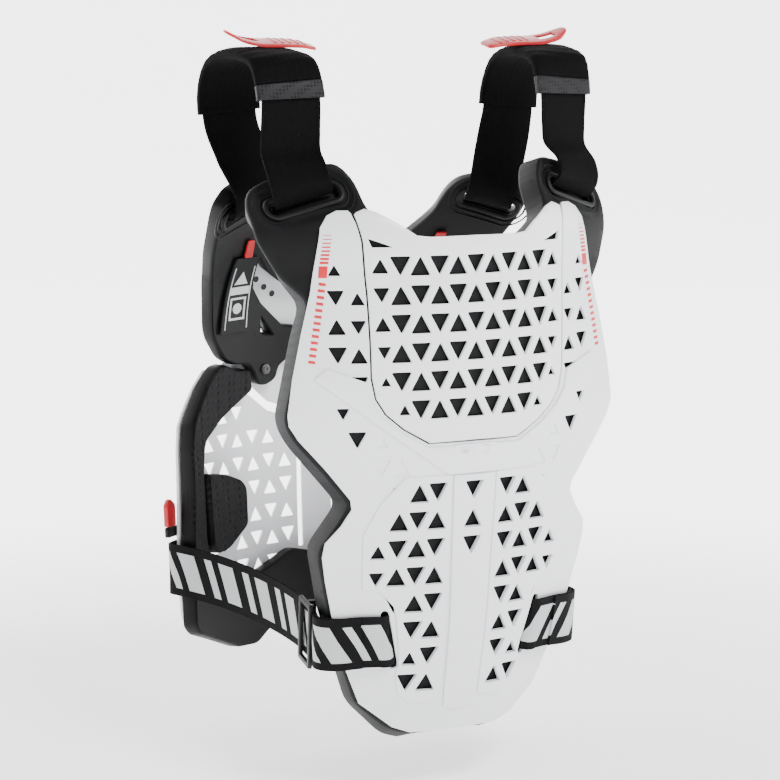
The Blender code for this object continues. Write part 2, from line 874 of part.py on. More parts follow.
def build_brace_flaps(parts):
    """The peel-open flaps on the yoke, each with a red tab at its top."""
    depth = SHELL_WALL + SKIN_GAP + YOKE_FOAM + SKIN_GAP + SEAT_GAP
    low = FLAP_UP - BACK_DROP
    lean = FLAP_WIDTH * 0.10
    half_width = FLAP_WIDTH / 2
    for side, sign in SIDES:
        loop = [
            (FLAP_X - half_width - lean, low), (FLAP_X + half_width + lean, low),
            (FLAP_X + half_width - lean, low + FLAP_HEIGHT),
            (FLAP_X - half_width - lean, low + FLAP_HEIGHT),
        ]
        name = "brace_flap_" + side
        finish = (BLACK_RUBBER, 0.60)
        loops = [mirrored(loop, sign)]
        shell_object(name, loops, BACK, depth, FLAP_WALL, finish, parts, half=False)
        foot = low + FLAP_HEIGHT + SEAT_GAP
        inner = FLAP_X - lean - FLAP_TAB_WIDTH / 2
        tab = [
            (inner, foot), (inner + FLAP_TAB_WIDTH, foot),
            (inner + FLAP_TAB_WIDTH * 1.15, foot + FLAP_TAB_HEIGHT),
            (inner + FLAP_TAB_WIDTH * 0.35, foot + FLAP_TAB_HEIGHT),
        ]
        name = "brace_tab_" + side
        finish = (RED_RUBBER, 0.45)
        loops = [mirrored(tab, sign)]
        shell_object(name, loops, BACK, depth, FLAP_TAB_WALL, finish, parts, half=False)


def build_pivot_screws(parts):
    """The screws through the yoke's lower lobes and the upper back shell."""
    grip = YOKE_FOAM + SKIN_GAP + SHELL_WALL
    shaft = SCREW_HOLE - SCREW_PLAY
    profile = (
        (0.0, SCREW_HEAD), (SCREW_RADIUS * 0.8, SCREW_HEAD), (SCREW_RADIUS, SCREW_HEAD * 0.5),
        (SCREW_RADIUS, 0.0), (shaft, 0.0), (shaft, -grip), (0.0, -grip),
    )
    z = SCREW_UP - BACK_DROP
    for side, sign in SIDES:
        seat = BACK.point(sign * SCREW_X, z, grip + SEAT_GAP * 2)
        inward = (seat - BACK.point(sign * SCREW_X, z, 0.0)).normalized()
        lathe = bmesh.new()
        verts = [lathe.verts.new((radius, 0.0, height)) for radius, height in profile]
        for first, second in zip(verts, verts[1:]):
            lathe.edges.new((first, second))
        mesh = bpy.data.meshes.new("pivot_screw_" + side)
        lathe.to_mesh(mesh)
        lathe.free()
        thing = add_object(mesh.name, mesh, (STEEL, 0.4), parts)
        turn = thing.modifiers.new("Turn", "SCREW")
        turn.steps = 8
        turn.render_steps = 8
        turn.use_merge_vertices = True
        turn.merge_threshold = 0.00001
        thing.location = seat
        thing.rotation_euler = inward.to_track_quat("Z", "Y").to_euler()


# Straps

def mirrored(loop, sign):
    """Put an outline of the wearer's left on the side the sign gives."""
    return [(x * sign, z) for x, z in loop]


def smooth_route(points, steps):
    """Space points evenly along a smooth curve through the route's points."""
    points = np.array(points)
    run = np.linalg.norm(np.diff(points, axis=0), axis=1)
    knots = np.concatenate(([0.0], np.cumsum(run)))
    knots = knots / knots[-1]
    return [
        Vector([cubic(knots, points[:, axis], share) for axis in range(3)])
        for share in np.linspace(0.0, 1.0, steps + 1)
    ]


def read_route(route, share):
    """The point and the direction at a share of a route."""
    at = min(max(share, 0.0), 1.0) * (len(route) - 1)
    i = min(int(at), len(route) - 2)
    return route[i].lerp(route[i + 1], at - i), (route[i + 1] - route[i]).normalized()


def slot_approach(face, x, z, depth, inside):
    """Points of a strap that comes down over the foam and turns into its slot."""
    return [
        face.point(x, z + rise, depth + inside * standoff) for rise, standoff in SLOT_APPROACH
    ]


def arch_route(steps=96):
    """The middle of a shoulder strap on the wearer's left, from chest to back."""
    foam = SHELL_WALL + SKIN_GAP
    front = slot_approach(FRONT, FRONT_SLOT_X, FRONT_SLOT_UP - CHEST_DROP, foam, -1)
    back = slot_approach(BACK, BACK_SLOT_X, BACK_SLOT_UP - BACK_DROP, foam + YOKE_FOAM, 1)
    points = []
    for spread, along, rise in ARCH_ROUTE:
        foot = front[-1].z + (back[-1].z - front[-1].z) * along
        y = front[-1].y + (back[-1].y - front[-1].y) * along
        points.append(Vector((SHOULDER_SPREAD * spread, y, foot + (ARCH_RISE - foot) * rise)))
    return smooth_route(front[::-1] + points + back, steps)


def slot_line(face, x, z):
    """The direction along a shoulder slot, from its inner to its outer end."""
    reach = SLOT_LENGTH / 4
    inner = face.point(x - math.cos(SLOT_SLANT) * reach, z + math.sin(SLOT_SLANT) * reach)
    outer = face.point(x + math.cos(SLOT_SLANT) * reach, z - math.sin(SLOT_SLANT) * reach)
    return (outer - inner).normalized()


def arch_across(share):
    """The direction of the strap's width, which turns to follow each slot."""
    if share < 0.5:
        line = slot_line(FRONT, FRONT_SLOT_X, FRONT_SLOT_UP - CHEST_DROP)
    else:
        line = slot_line(BACK, BACK_SLOT_X, BACK_SLOT_UP - BACK_DROP)
    rest = Vector((1.0, STRAP_SKEW * max(1 - 2 * share, 0.0), 0.0))
    return rest.lerp(line, abs(1 - 2 * share) ** 4).normalized()


def arch_frame(route, share):
    """Place, direction, width and face of the shoulder strap at a share."""
    here, ahead = read_route(route, share)
    across = arch_across(share)
    across = (across - ahead * across.dot(ahead)).normalized()
    return here, ahead, across, across.cross(ahead)


def ribbon(name, stations, place, wall, finish, parts, sign):
    """A strap of one row of faces, placed by a function of length and width."""
    strip = bmesh.new()
    steps = len(stations) - 1
    bmesh.ops.create_grid(strip, x_segments=steps, y_segments=1, size=0.5)
    for vert in strip.verts:
        spot = place(stations[round((vert.co.x + 0.5) * steps)], vert.co.y * 2)
        vert.co = Vector((spot.x * sign, spot.y, spot.z))
    bmesh.ops.triangulate(strip, faces=strip.faces[:], quad_method="SHORT_EDGE")
    mesh = bpy.data.meshes.new(name)
    strip.to_mesh(mesh)
    strip.free()
    thing = add_object(name, mesh, finish, parts)
    add_solidify(thing, wall)
    thing.modifiers["Wall"].offset = 0.0
    return thing


def tube_round(name, route, start, end, steps, wall, clear, finish, parts, sign):
    """A sleeve around the shoulder strap, between two shares of its route."""
    middle = clear + wall / 2
    wide = WEBBING_WIDTH / 2 + middle
    high = WEBBING_WALL / 2 + middle
    section = [(1, -1), (1, 1), (-1, 1), (-1, -1)]
    strip = bmesh.new()
    bmesh.ops.create_grid(strip, x_segments=steps, y_segments=len(section), size=0.5)
    for vert in strip.verts:
        share = start + (end - start) * (vert.co.x + 0.5)
        across_share, up_share = section[round((vert.co.y + 0.5) * len(section)) % len(section)]
        here, _, across, up = arch_frame(route, share)
        spot = here + across * across_share * wide + up * up_share * high
        vert.co = Vector((spot.x * sign, spot.y, spot.z))
    bmesh.ops.remove_doubles(strip, verts=strip.verts, dist=0.00001)
    bmesh.ops.recalc_face_normals(strip, faces=strip.faces[:])
    bmesh.ops.triangulate(strip, faces=strip.faces[:], quad_method="SHORT_EDGE")
    mesh = bpy.data.meshes.new(name)
    strip.to_mesh(mesh)
    strip.free()
    thing = add_object(name, mesh, finish, parts)
    add_solidify(thing, wall)
    thing.modifiers["Wall"].offset = 0.0


def build_shoulder_straps(parts):
    """Straps, padded sleeves and cuffs over the shoulders."""
    route = arch_route()
    length = sum((b - a).length for a, b in zip(route, route[1:]))
    cuff_end = SLEEVE_FROM - 2 * SEAT_GAP / length
    cuff_start = cuff_end - CUFF_LENGTH / length
    ease = np.linspace(0.0, 1.0, STRAP_END_STEPS + 1) ** STRAP_END_EASE
    stations = list(cuff_start * ease) + [cuff_end]
    stations += list(np.linspace(SLEEVE_FROM, SLEEVE_TO, SLEEVE_STEPS + 1))
    stations += list(1.0 - (1.0 - SLEEVE_TO) * ease[-2::-1])

    def place(share, side):
        here, _, across, _ = arch_frame(route, share)
        taper = 1 - (1 - BACK_TAPER) * max(0.0, (share - 0.8) / 0.2)
        return here + across * side * WEBBING_WIDTH / 2 * taper

    for side, sign in SIDES:
        finish = (BLACK_WEBBING, 0.85)
        name = "shoulder_strap_" + side
        ribbon(name, stations, place, WEBBING_WALL, finish, parts, sign)
        name = "shoulder_sleeve_" + side
        finish = (BLACK_WEBBING, 0.90)
        tube_round(name, route, SLEEVE_FROM, SLEEVE_TO, SLEEVE_STEPS, SLEEVE_WALL,
                   SLEEVE_PLAY, finish, parts, sign)
        name = "strap_cuff_" + side
        tube_round(name, route, cuff_start, cuff_end, 1, CUFF_WALL,
                   SLEEVE_PLAY, (BLACK_RUBBER, 0.6), parts, sign)


def build_slot_rings(parts):
    """Raised lips around the four shoulder slots."""
    foam_top = SHELL_WALL + SKIN_GAP
    rise = RING_RADIUS + SEAT_GAP * 3
    rings = (
        ("front", FRONT, front_slot_loop(RING_RADIUS * 2.6), foam_top - rise),
        ("back", BACK, back_slot_loop(RING_RADIUS * 2.4), foam_top + YOKE_FOAM + rise),
    )
    for where, face, loop, depth in rings:
        for side, sign in SIDES:
            curve = bpy.data.curves.new("ring", "CURVE")
            curve.dimensions = "3D"
            curve.bevel_depth = RING_RADIUS
            curve.bevel_resolution = 0
            spline = curve.splines.new("POLY")
            spline.points.add(len(loop) - 1)
            spline.use_cyclic_u = True
            for point, (x, z) in zip(spline.points, loop):
                spot = face.point(x, z, depth)
                point.co = (spot.x * sign, spot.y, spot.z, 1.0)
            name = where + "_slot_ring_" + side
            add_object(name, mesh_of(curve, name), (BLACK_RUBBER, 0.45), parts)


def mesh_of(curve, name):
    """Turn a curve into a mesh."""
    guide = bpy.data.objects.new("guide", curve)
    bpy.context.scene.collection.objects.link(guide)
    graph = bpy.context.evaluated_depsgraph_get()
    mesh = bpy.data.meshes.new_from_object(guide.evaluated_get(graph))
    bpy.data.objects.remove(guide, do_unlink=True)
    mesh.name = name
    return mesh


def build_pull_tabs(parts):
    """The red rubber tabs that lie across the tops of the sleeves."""
    route = arch_route()
    share = 0.5 * (SLEEVE_FROM + SLEEVE_TO) - 0.03
    crest, ahead, _, _ = arch_frame(route, share)
    slope = ahead.z / ahead.y
    top = WEBBING_WALL / 2 + SLEEVE_PLAY + SLEEVE_WALL + SEAT_GAP + PULL_WALL / 2
    outline = [
        (0.0, -0.34), (0.20, -0.50), (0.62, -0.50), (0.86, -0.44), (1.0, -0.16),
        (1.0, 0.16), (0.86, 0.44), (0.62, 0.50), (0.20, 0.50), (0.0, 0.34),
    ]
    window = [(0.60, -0.24), (0.84, -0.18), (0.84, 0.18), (0.60, 0.24)]
    knots = np.array([row[0] for row in PULL_ROUTE])
    spreads = np.array([row[1] for row in PULL_ROUTE])
    rises = np.array([row[2] for row in PULL_ROUTE])
    for side, sign in SIDES:
        sheet = filled([outline, window])
        for at in (0.12, 0.28, 0.45, 0.75):
            bmesh.ops.bisect_plane(
                sheet, geom=sheet.verts[:] + sheet.edges[:] + sheet.faces[:], dist=0.000001,
                plane_co=Vector((at, 0, 0)), plane_no=Vector((1, 0, 0)),
            )
        for vert in sheet.verts:
            along, wide = vert.co.x, vert.co.z
            x = SHOULDER_SPREAD * cubic(knots, spreads, along)
            bow = SHOULDER_SPREAD * cubic(knots, rises, along)
            sag = PULL_SAG * (2 * wide) ** 2
            z = crest.z + top + bow - sag + slope * wide * PULL_WIDTH
            z += PULL_LEAN * (wide + 0.5) * PULL_WIDTH
            vert.co = Vector((x * sign, crest.y + wide * PULL_WIDTH, z))
        sheet.normal_update()
        name = "shoulder_pull_tab_" + side
        mesh = bpy.data.meshes.new(name)
        sheet.to_mesh(mesh)
        sheet.free()
        thing = add_object(name, mesh, (RED_RUBBER, 0.42), parts)
        add_solidify(thing, PULL_WALL)
        thing.modifiers["Wall"].offset = 0.0


def waist_route(steps=120):
    """The middle of a waist strap on the wearer's left, from slot to back rim."""
    points = []
    for rows, face in ((WAIST_FRONT_ROUTE, FRONT), (WAIST_BACK_ROUTE, BACK)):
        for wide, high, deep in rows:
            x, z = face.place(wide, high)
            points.append(face.point(x, z, deep * CHEST_FOAM))
    return smooth_route(points, steps)


def waist_across(here, share):
    """The direction of the waist strap's width, which leans with the panels."""
    upright = Vector((0.0, 0.0, WAIST_WIDTH))
    rise = WAIST_WIDTH / 2
    if share < GLIDE_FROM:
        run = rise * math.tan(WAIST_SLOT_SLANT)
        top = FRONT.point(here.x + run, here.z + rise)
        lean = top - FRONT.point(here.x - run, here.z - rise)
        return lean.lerp(upright, share / GLIDE_FROM)
    if share > REAR_LEAN_FROM:
        lean = BACK.point(here.x, here.z + rise) - BACK.point(here.x, here.z - rise)
        return upright.lerp(lean, (share - REAR_LEAN_FROM) / (1 - REAR_LEAN_FROM))
    return upright


def waist_place(route, share, side):
    """A point of the waist strap, at a share of its length and half width."""
    here, ahead = read_route(route, share)
    across = waist_across(here, share)
    across = (across - ahead * across.dot(ahead)).normalized()
    return here + across * side * WAIST_WIDTH / 2


def build_waist_straps(parts):
    """Elastic webbing from the chest slots around to the back rim."""
    route = waist_route()

    def place(share, side):
        return waist_place(route, share, side)

    for side, sign in SIDES:
        name = "waist_strap_" + side
        ribbon(name, WAIST_FOLDS, place, WAIST_WALL, (BLACK_WEBBING, 0.8), parts, sign)


def build_triglides(parts, cutters):
    """Buckle frames on the waist straps, each with a bar behind the webbing."""
    route = waist_route()
    first, last = waist_place(route, GLIDE_FROM, 0), waist_place(route, GLIDE_TO, 0)
    here = (first + last) / 2
    ahead = (last - first).normalized()
    across = waist_place(route, GLIDE_FROM, 1) - first
    across = (across - ahead * across.dot(ahead)).normalized()
    out = ahead.cross(across)
    half_width = GLIDE_WIDTH / 2
    half_height = GLIDE_HEIGHT / 2
    window_wide = half_width - GLIDE_BAR
    window_high = WAIST_WIDTH / 2
    back = WAIST_WALL / 2 + SEAT_GAP * 3
    for side, sign in SIDES:
        turn = Matrix((
            (ahead.x * sign, out.x * sign, across.x * sign),
            (ahead.y, out.y, across.y), (ahead.z, out.z, across.z),
        ))
        frame = box_mesh(2 * half_width, GLIDE_WALL, 2 * half_height,
                         Vector((0.0, back + GLIDE_WALL / 2, 0.0)))
        window = box_mesh(2 * window_wide, GLIDE_WALL * 3, 2 * window_high,
                          Vector((0.0, back + GLIDE_WALL / 2, 0.0)))
        reach = GLIDE_WALL * 2 + back
        bar_high = WAIST_WIDTH / 2 + SEAT_GAP * 4
        stem = (half_height - bar_high) * 0.9
        bar = box_mesh(GLIDE_BAR, reach + GLIDE_WALL, 2 * (bar_high + stem),
                       Vector((0.0, back + GLIDE_WALL * 0.6 - reach / 2, 0.0)))
        bore = box_mesh(GLIDE_BAR * 2, back * 2 + GLIDE_WALL, 2 * bar_high,
                        Vector((0.0, GLIDE_WALL / 2, 0.0)))
        pieces = []
        for label, mesh in (("window", window), ("bar", bar), ("bore", bore)):
            cutter = bpy.data.objects.new("triglide_" + label + "_" + side, mesh)
            cutters.objects.link(cutter)
            cutter.hide_render = True
            cutter.display_type = "WIRE"
            pieces.append(cutter)
        name = "triglide_" + side
        thing = add_object(name, frame, (BLACK_PLASTIC, 0.4), parts)
        for cutter, operation in zip(pieces, ("DIFFERENCE", "UNION", "DIFFERENCE")):
            step = thing.modifiers.new(cutter.name, "BOOLEAN")
            step.object = cutter
            step.operation = operation
        place = Matrix.Translation(Vector((here.x * sign, here.y, here.z)))
        for item in [thing] + pieces:
            if sign > 0:
                item.data.flip_normals()
            item.data.transform(place @ turn.to_4x4())


def box_mesh(wide, deep, high, at):
    """A box with its middle at a point."""
    box = bmesh.new()
    bmesh.ops.create_cube(box, size=1.0)
    bmesh.ops.scale(box, vec=Vector((wide, deep, high)), verts=box.verts)
    bmesh.ops.translate(box, vec=at, verts=box.verts)
    mesh = bpy.data.meshes.new("box")
    box.to_mesh(mesh)
    box.free()
    return mesh


def build_strap_hooks(parts):
    """Hooks that hold the waist straps to the back rim, with red tabs."""
    middle = BACK.place(0.0, WAIST_BACK_ROUTE[-1][1])[1]
    edge = BACK_HALF_WIDTH
    clear = WAIST_WIDTH / 2 + SEAT_GAP * 12
    lip = clear + HOOK_RISE
    for side, sign in SIDES:
        plate = [
            (edge * 0.84, middle - clear), (edge * 0.955, middle - clear),
            (edge * 0.955, middle + clear), (edge * 1.045, middle + clear),
            (edge * 1.045, middle + lip), (edge * 0.93, middle + lip),
            (edge * 0.84, middle + clear),
        ]
        depth = -HOOK_WALL - SKIN_GAP
        name = "strap_hook_" + side
        finish = (BLACK_PLASTIC, 0.45)
        loops = [mirrored(plate, sign)]
        shell_object(name, loops, BACK, depth, HOOK_WALL, finish, parts, half=False)
        foot = middle + lip + SEAT_GAP
        tab = [
            (edge * 0.982, foot), (edge * 1.047, foot),
            (edge * 1.047, foot + TAB_HEIGHT * 0.8), (edge * 1.020, foot + TAB_HEIGHT),
            (edge * 0.982, foot + TAB_HEIGHT * 0.75),
        ]
        name = "hook_tab_" + side
        finish = (RED_RUBBER, 0.40)
        depth = -TAB_WALL - SEAT_GAP
        loops = [mirrored(tab, sign)]
        shell_object(name, loops, BACK, depth, TAB_WALL, finish, parts, half=False)


def main():
    clear_scene()
    parts = make_collection("chest_protector")
    cutters = make_collection("cutters", hidden=True)
    build_chest_shell(parts)
    build_chest_plate(parts)
    build_chest_tag(parts)
    build_chest_pad(parts)
    build_back_shells(parts)
    build_back_yoke(parts)
    build_back_pad(parts)
    build_lumbar_pads(parts)
    build_brace_flaps(parts)
    build_pivot_screws(parts)
    build_shoulder_straps(parts)
    build_slot_rings(parts)
    build_pull_tabs(parts)
    build_waist_straps(parts)
    build_triglides(parts, cutters)
    build_strap_hooks(parts)


main()
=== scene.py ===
"""Chest protector for off-road riding, dressed for a studio picture.

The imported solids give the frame. Each piece below is modelled again over its
solid with its rims, vents, reliefs, weave and finish, on the same curved
faces and from the same sizes as the part's source.
"""

import logging
import math
from collections.abc import Callable, Sequence
from dataclasses import dataclass, field
from enum import Enum

import bmesh
import bpy
import numpy as np
from mathutils import Matrix, Vector

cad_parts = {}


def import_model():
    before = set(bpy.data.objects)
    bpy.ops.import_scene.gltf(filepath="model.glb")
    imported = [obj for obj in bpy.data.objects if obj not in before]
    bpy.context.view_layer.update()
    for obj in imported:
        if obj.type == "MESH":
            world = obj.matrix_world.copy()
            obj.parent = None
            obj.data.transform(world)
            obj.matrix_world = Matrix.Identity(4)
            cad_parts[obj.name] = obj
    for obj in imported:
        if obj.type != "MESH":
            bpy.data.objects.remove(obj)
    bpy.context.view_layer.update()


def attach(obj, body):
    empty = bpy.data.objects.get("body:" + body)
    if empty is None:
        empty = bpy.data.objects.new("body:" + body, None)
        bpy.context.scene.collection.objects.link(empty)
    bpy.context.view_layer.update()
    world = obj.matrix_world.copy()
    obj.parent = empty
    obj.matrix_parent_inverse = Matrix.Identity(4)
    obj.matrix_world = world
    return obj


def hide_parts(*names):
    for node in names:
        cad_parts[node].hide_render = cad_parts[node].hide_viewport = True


LOG = logging.getLogger("chest_protector")

Spot = tuple[float, float]
Loop = list[Spot]
Piece = bpy.types.Object

# Sizes that several pieces share, as in the part's source
SHELL_WALL = 0.0026
SKIN_GAP = 0.0014
SEAT_GAP = 0.0003
SEAM_GAP = 0.0012
CHEST_FOAM = 0.0200
YOKE_FOAM = 0.0110
BODY = "root"

# Vents show smaller than they are, because their walls are white too
VENT_OPEN = 1.095
VENT_TALL = 0.925


class Side(Enum):
    """The wearer's sides and their signs along X."""

    RIGHT = -1
    LEFT = 1

    @property
    def word(self) -> str:
        """The side as it stands in the names of nodes."""
        return self.name.lower()


# Faces that the panels lie on

def cubic(knots: np.ndarray, values: np.ndarray, at: np.ndarray | float) -> np.ndarray:
    """Read a smooth curve through the knots, straight beyond its ends.

    Args:
        knots: Places of the knots, rising.
        values: Values at the knots.
        at: Place or places to read.

    Returns:
        The values of the curve there.
    """
    slopes = np.gradient(values, knots)
    inner = np.clip(at, knots[0], knots[-1])
    i = np.clip(np.searchsorted(knots, inner) - 1, 0, len(knots) - 2)
    span = knots[i + 1] - knots[i]
    t = (inner - knots[i]) / span
    curve = (
        (2 * t**3 - 3 * t**2 + 1) * values[i]
        + (t**3 - 2 * t**2 + t) * span * slopes[i]
        + (3 * t**2 - 2 * t**3) * values[i + 1]
        + (t**3 - t**2) * span * slopes[i + 1]
    )
    below, above = np.minimum(at - knots[0], 0.0), np.maximum(at - knots[-1], 0.0)
    return curve + slopes[0] * below + slopes[-1] * above


@dataclass(frozen=True)
class Face:
    """A curved face that panels lie on, as y over x and height."""

    side: int
    reach: float
    wrap: float
    half_width: float
    drop: float
    height: float
    form: tuple[tuple[float, float, float], ...]

    def place(self, x_share: float, z_share: float) -> Spot:
        """Turn outline shares into x and z."""
        return x_share * self.half_width, z_share * self.height - self.drop

    def placed(self, table: Sequence[Spot]) -> Loop:
        """Turn a table of outline shares into x and z."""
        return [self.place(x, z) for x, z in table]

    def y(self, x: np.ndarray, z: np.ndarray) -> np.ndarray:
        """The outer face at places across and up.

        Args:
            x: Places across.
            z: Places up.

        Returns:
            The depth at each place.
        """
        rows = np.array(self.form)
        share = (z + self.drop) / self.height
        crown = cubic(rows[:, 0], rows[:, 1], share)
        curl = cubic(rows[:, 0], rows[:, 2], share)
        return self.side * (self.reach * crown - self.wrap * curl * (x / self.half_width) ** 2)

    def points(self, x: np.ndarray, z: np.ndarray, depth: np.ndarray) -> np.ndarray:
        """Points at depths under the outer face, towards the wearer.

        Args:
            x: Places across.
            z: Heights.
            depth: Distances under the face along its normals.

        Returns:
            A row for each point in the part's frame.
        """
        step = 0.001
        slope_x = (self.y(x + step, z) - self.y(x - step, z)) / (2 * step)
        slope_z = (self.y(x, z + step) - self.y(x, z - step)) / (2 * step)
        inward = np.stack((-slope_x, np.ones_like(slope_x), -slope_z), axis=-1)
        inward *= -self.side / np.linalg.norm(inward, axis=-1, keepdims=True)
        return np.stack((x, self.y(x, z), z), axis=-1) + inward * depth[..., None]

    def point(self, x: float, z: float, depth: float = 0.0) -> Vector:
        """A point at a depth under the outer face, towards the wearer."""
        return Vector(self.points(np.array([x]), np.array([z]), np.array([depth]))[0])


FRONT = Face(-1, 0.118, 0.0606, 0.1355, 0.4965, 0.3915, (
    (-0.03, 0.73, 1.00), (0.06, 0.78, 0.94), (0.22, 0.885, 0.745), (0.34, 0.925, 0.58),
    (0.54, 0.985, 0.525), (0.72, 1.00, 0.61), (0.87, 0.995, 0.76), (0.99, 0.940, 0.82),
    (1.03, 0.835, 0.82), (1.07, 0.745, 0.82), (1.12, 0.655, 0.82),
))
BACK = Face(1, 0.1626, 0.0500, 0.145, 0.470, 0.381, (
    (-0.01, 0.875, 1.00), (0.30, 0.962, 1.00), (0.565, 1.00, 1.00), (0.775, 0.950, 1.15),
    (0.93, 0.748, 1.45), (1.04, 0.600, 1.55),
))


# Outlines in the flat

def mirrored(loop: Loop, side: Side) -> Loop:
    """Put an outline of the wearer's left on a side."""
    return [(x * side.value, z) for x, z in loop]


def both(loops: list[Loop]) -> list[Loop]:
    """Give loops of the wearer's left to both sides."""
    return loops + [mirrored(loop, Side.RIGHT) for loop in loops]


def whole(half: Loop) -> Loop:
    """Close a half outline that starts and ends at the centre line.

    Args:
        half: The wearer's left half, from one end to the other.

    Returns:
        The whole outline.
    """
    inner = [spot for spot in half if spot[0] > 0.0001]
    ends = [spot for spot in (half[0], half[-1]) if spot[0] <= 0.0001]
    loop = ([ends[0]] if ends and half[0][0] <= 0.0001 else []) + inner
    if half[-1][0] <= 0.0001:
        loop.append(half[-1])
    return loop + [(-x, z) for x, z in reversed(inner)]


def grown(loop: Loop, by: float) -> Loop:
    """Move the edges of a closed outline outward, or inward where by is negative.

    Args:
        loop: The outline.
        by: How far each edge moves.

    Returns:
        The moved outline, with as many points.
    """
    spots = np.array(loop)
    after = np.roll(spots, -1, axis=0) - spots
    length = np.linalg.norm(after, axis=1, keepdims=True)
    after = after / np.maximum(length, 1e-9)
    turn = np.sum(spots[:, 0] * np.roll(spots[:, 1], -1) - np.roll(spots[:, 0], -1) * spots[:, 1])
    out = np.stack((after[:, 1], -after[:, 0]), axis=1) * (1 if turn > 0 else -1)
    before = np.roll(out, 1, axis=0)
    spread = np.maximum(1 + np.sum(out * before, axis=1, keepdims=True), 0.45)
    moved = spots + (out + before) / spread * by
    return [(float(x), float(z)) for x, z in moved]


def rounded(loop: Loop, radius: float, steps: int = 2) -> Loop:
    """Round the corners of a closed outline.

    Args:
        loop: The outline.
        radius: How far from each corner the rounding starts.
        steps: Edges in each rounded corner.

    Returns:
        The outline with steps + 1 points at each corner.
    """
    result: Loop = []
    for i, spot in enumerate(loop):
        here = Vector(spot)
        last, following = Vector(loop[i - 1]), Vector(loop[(i + 1) % len(loop)])
        start = here + (last - here).normalized() * min(radius, (last - here).length * 0.45)
        end = here + (following - here).normalized() * min(radius, (following - here).length * 0.45)
        for n in range(steps + 1):
            t = n / steps
            spot_here = start * (1 - t) ** 2 + here * 2 * t * (1 - t) + end * t**2
            result.append((spot_here.x, spot_here.y))
    return result


def vent(x: float, z: float, side: float, up: bool) -> Loop:
    """A triangle with soft corners, opened a little past its solid's on all sides.

    Args:
        x: Its middle across.
        z: Its lower edge in the solid.
        side: The length of its sides in the solid.
        up: Whether it points up.

    Returns:
        The vent's outline.
    """
    solid_tall = side * math.sqrt(3) / 2
    side *= VENT_OPEN
    tall = side * VENT_TALL
    z -= (tall - solid_tall) / 2
    base, tip = (z, z + tall) if up else (z + tall, z)
    return rounded([(x - side / 2, base), (x + side / 2, base), (x, tip)], side * 0.085)


def slot(x: float, z: float, length: float, height: float, slant: float, steps: int = 8) -> Loop:
    """A round-ended slot, slanted in the plane of x and z.

    Args:
        x: Its middle across.
        z: Its middle up.
        length: From end to end.
        height: Across the slot.
        slant: Its turn in radians.
        steps: Edges in each round end.

    Returns:
        The slot's outline.
    """
    points = []
    for end in (1, -1):
        for i in range(steps + 1):
            turn = -math.pi / 2 + math.pi * i / steps
            along = end * (length / 2 - height / 2 + math.cos(turn) * height / 2)
            points.append((along, end * math.sin(turn) * height / 2))
    cos, sin = math.cos(slant), math.sin(slant)
    return [(x + a * cos - b * sin, z + a * sin + b * cos) for a, b in points]


def circle(x: float, z: float, radius: float, steps: int = 20) -> Loop:
    """A round outline."""
    turns = [2 * math.pi * i / steps for i in range(steps)]
    return [(x + radius * math.cos(turn), z + radius * math.sin(turn)) for turn in turns]


def inside(loop: Loop, x: float, z: float) -> bool:
    """Whether a place lies inside a closed outline.

    Args:
        loop: The outline.
        x: The place across.
        z: The place up.

    Returns:
        True inside it.
    """
    hits = 0
    for (ax, az), (bx, bz) in zip(loop, loop[1:] + loop[:1]):
        if (az > z) != (bz > z) and x < (bx - ax) * (z - az) / (bz - az) + ax:
            hits += 1
    return hits % 2 == 1


# Flat sheets become slabs: x across, y the depth under the face, z up

def filled(loops: list[Loop]) -> bmesh.types.BMesh:
    """Fill closed outlines, the first the rim and the others its holes.

    Args:
        loops: The rim and its holes.

    Returns:
        A flat sheet of faces.
    """
    curve = bpy.data.curves.new("outline", "CURVE")
    curve.dimensions = "2D"
    curve.fill_mode = "BOTH"
    for loop in loops:
        spline = curve.splines.new("POLY")
        spline.points.add(len(loop) - 1)
        spline.use_cyclic_u = True
        for point, (x, z) in zip(spline.points, loop):
            point.co = (x, z, 0.0, 1.0)
    guide = bpy.data.objects.new("outline", curve)
    bpy.context.scene.collection.objects.link(guide)
    graph = bpy.context.evaluated_depsgraph_get()
    mesh = bpy.data.meshes.new_from_object(guide.evaluated_get(graph))
    bpy.data.objects.remove(guide, do_unlink=True)
    sheet = bmesh.new()
    sheet.from_mesh(mesh)
    bpy.data.meshes.remove(mesh)
    bmesh.ops.remove_doubles(sheet, verts=sheet.verts, dist=0.00001)
    bmesh.ops.rotate(sheet, verts=sheet.verts, matrix=Matrix.Rotation(math.pi / 2, 3, "X"))
    return sheet


def cut_cells(sheet: bmesh.types.BMesh, cell: float, window: tuple[float, ...] | None = None) -> None:
    """Cut a flat sheet into cells, so that it can bend.

    Args:
        sheet: The sheet, in x and z.
        cell: Side of a cell.
        window: Lowest x, lowest z, highest x and highest z to cut, or the whole sheet.
    """
    xs = [vert.co.x for vert in sheet.verts]
    zs = [vert.co.z for vert in sheet.verts]
    low_x, low_z, high_x, high_z = window or (min(xs), min(zs), max(xs), max(zs))
    for axis, low, high in ((0, low_x, high_x), (2, low_z, high_z)):
        for n in range(math.ceil(low / cell), math.floor(high / cell) + 1):
            at, normal = Vector(), Vector()
            at[axis] = n * cell
            normal[axis] = 1.0
            faces = sheet.faces[:]
            if window:
                faces = [
                    face for face in faces
                    if low_x <= face.calc_center_median().x <= high_x
                    and low_z <= face.calc_center_median().z <= high_z
                ]
            edges = {edge for face in faces for edge in face.edges}
            verts = {vert for face in faces for vert in face.verts}
            bmesh.ops.bisect_plane(
                sheet, geom=[*verts, *edges, *faces], dist=0.000002, plane_co=at, plane_no=normal
            )
    bmesh.ops.triangulate(sheet, faces=[face for face in sheet.faces if len(face.verts) > 4])


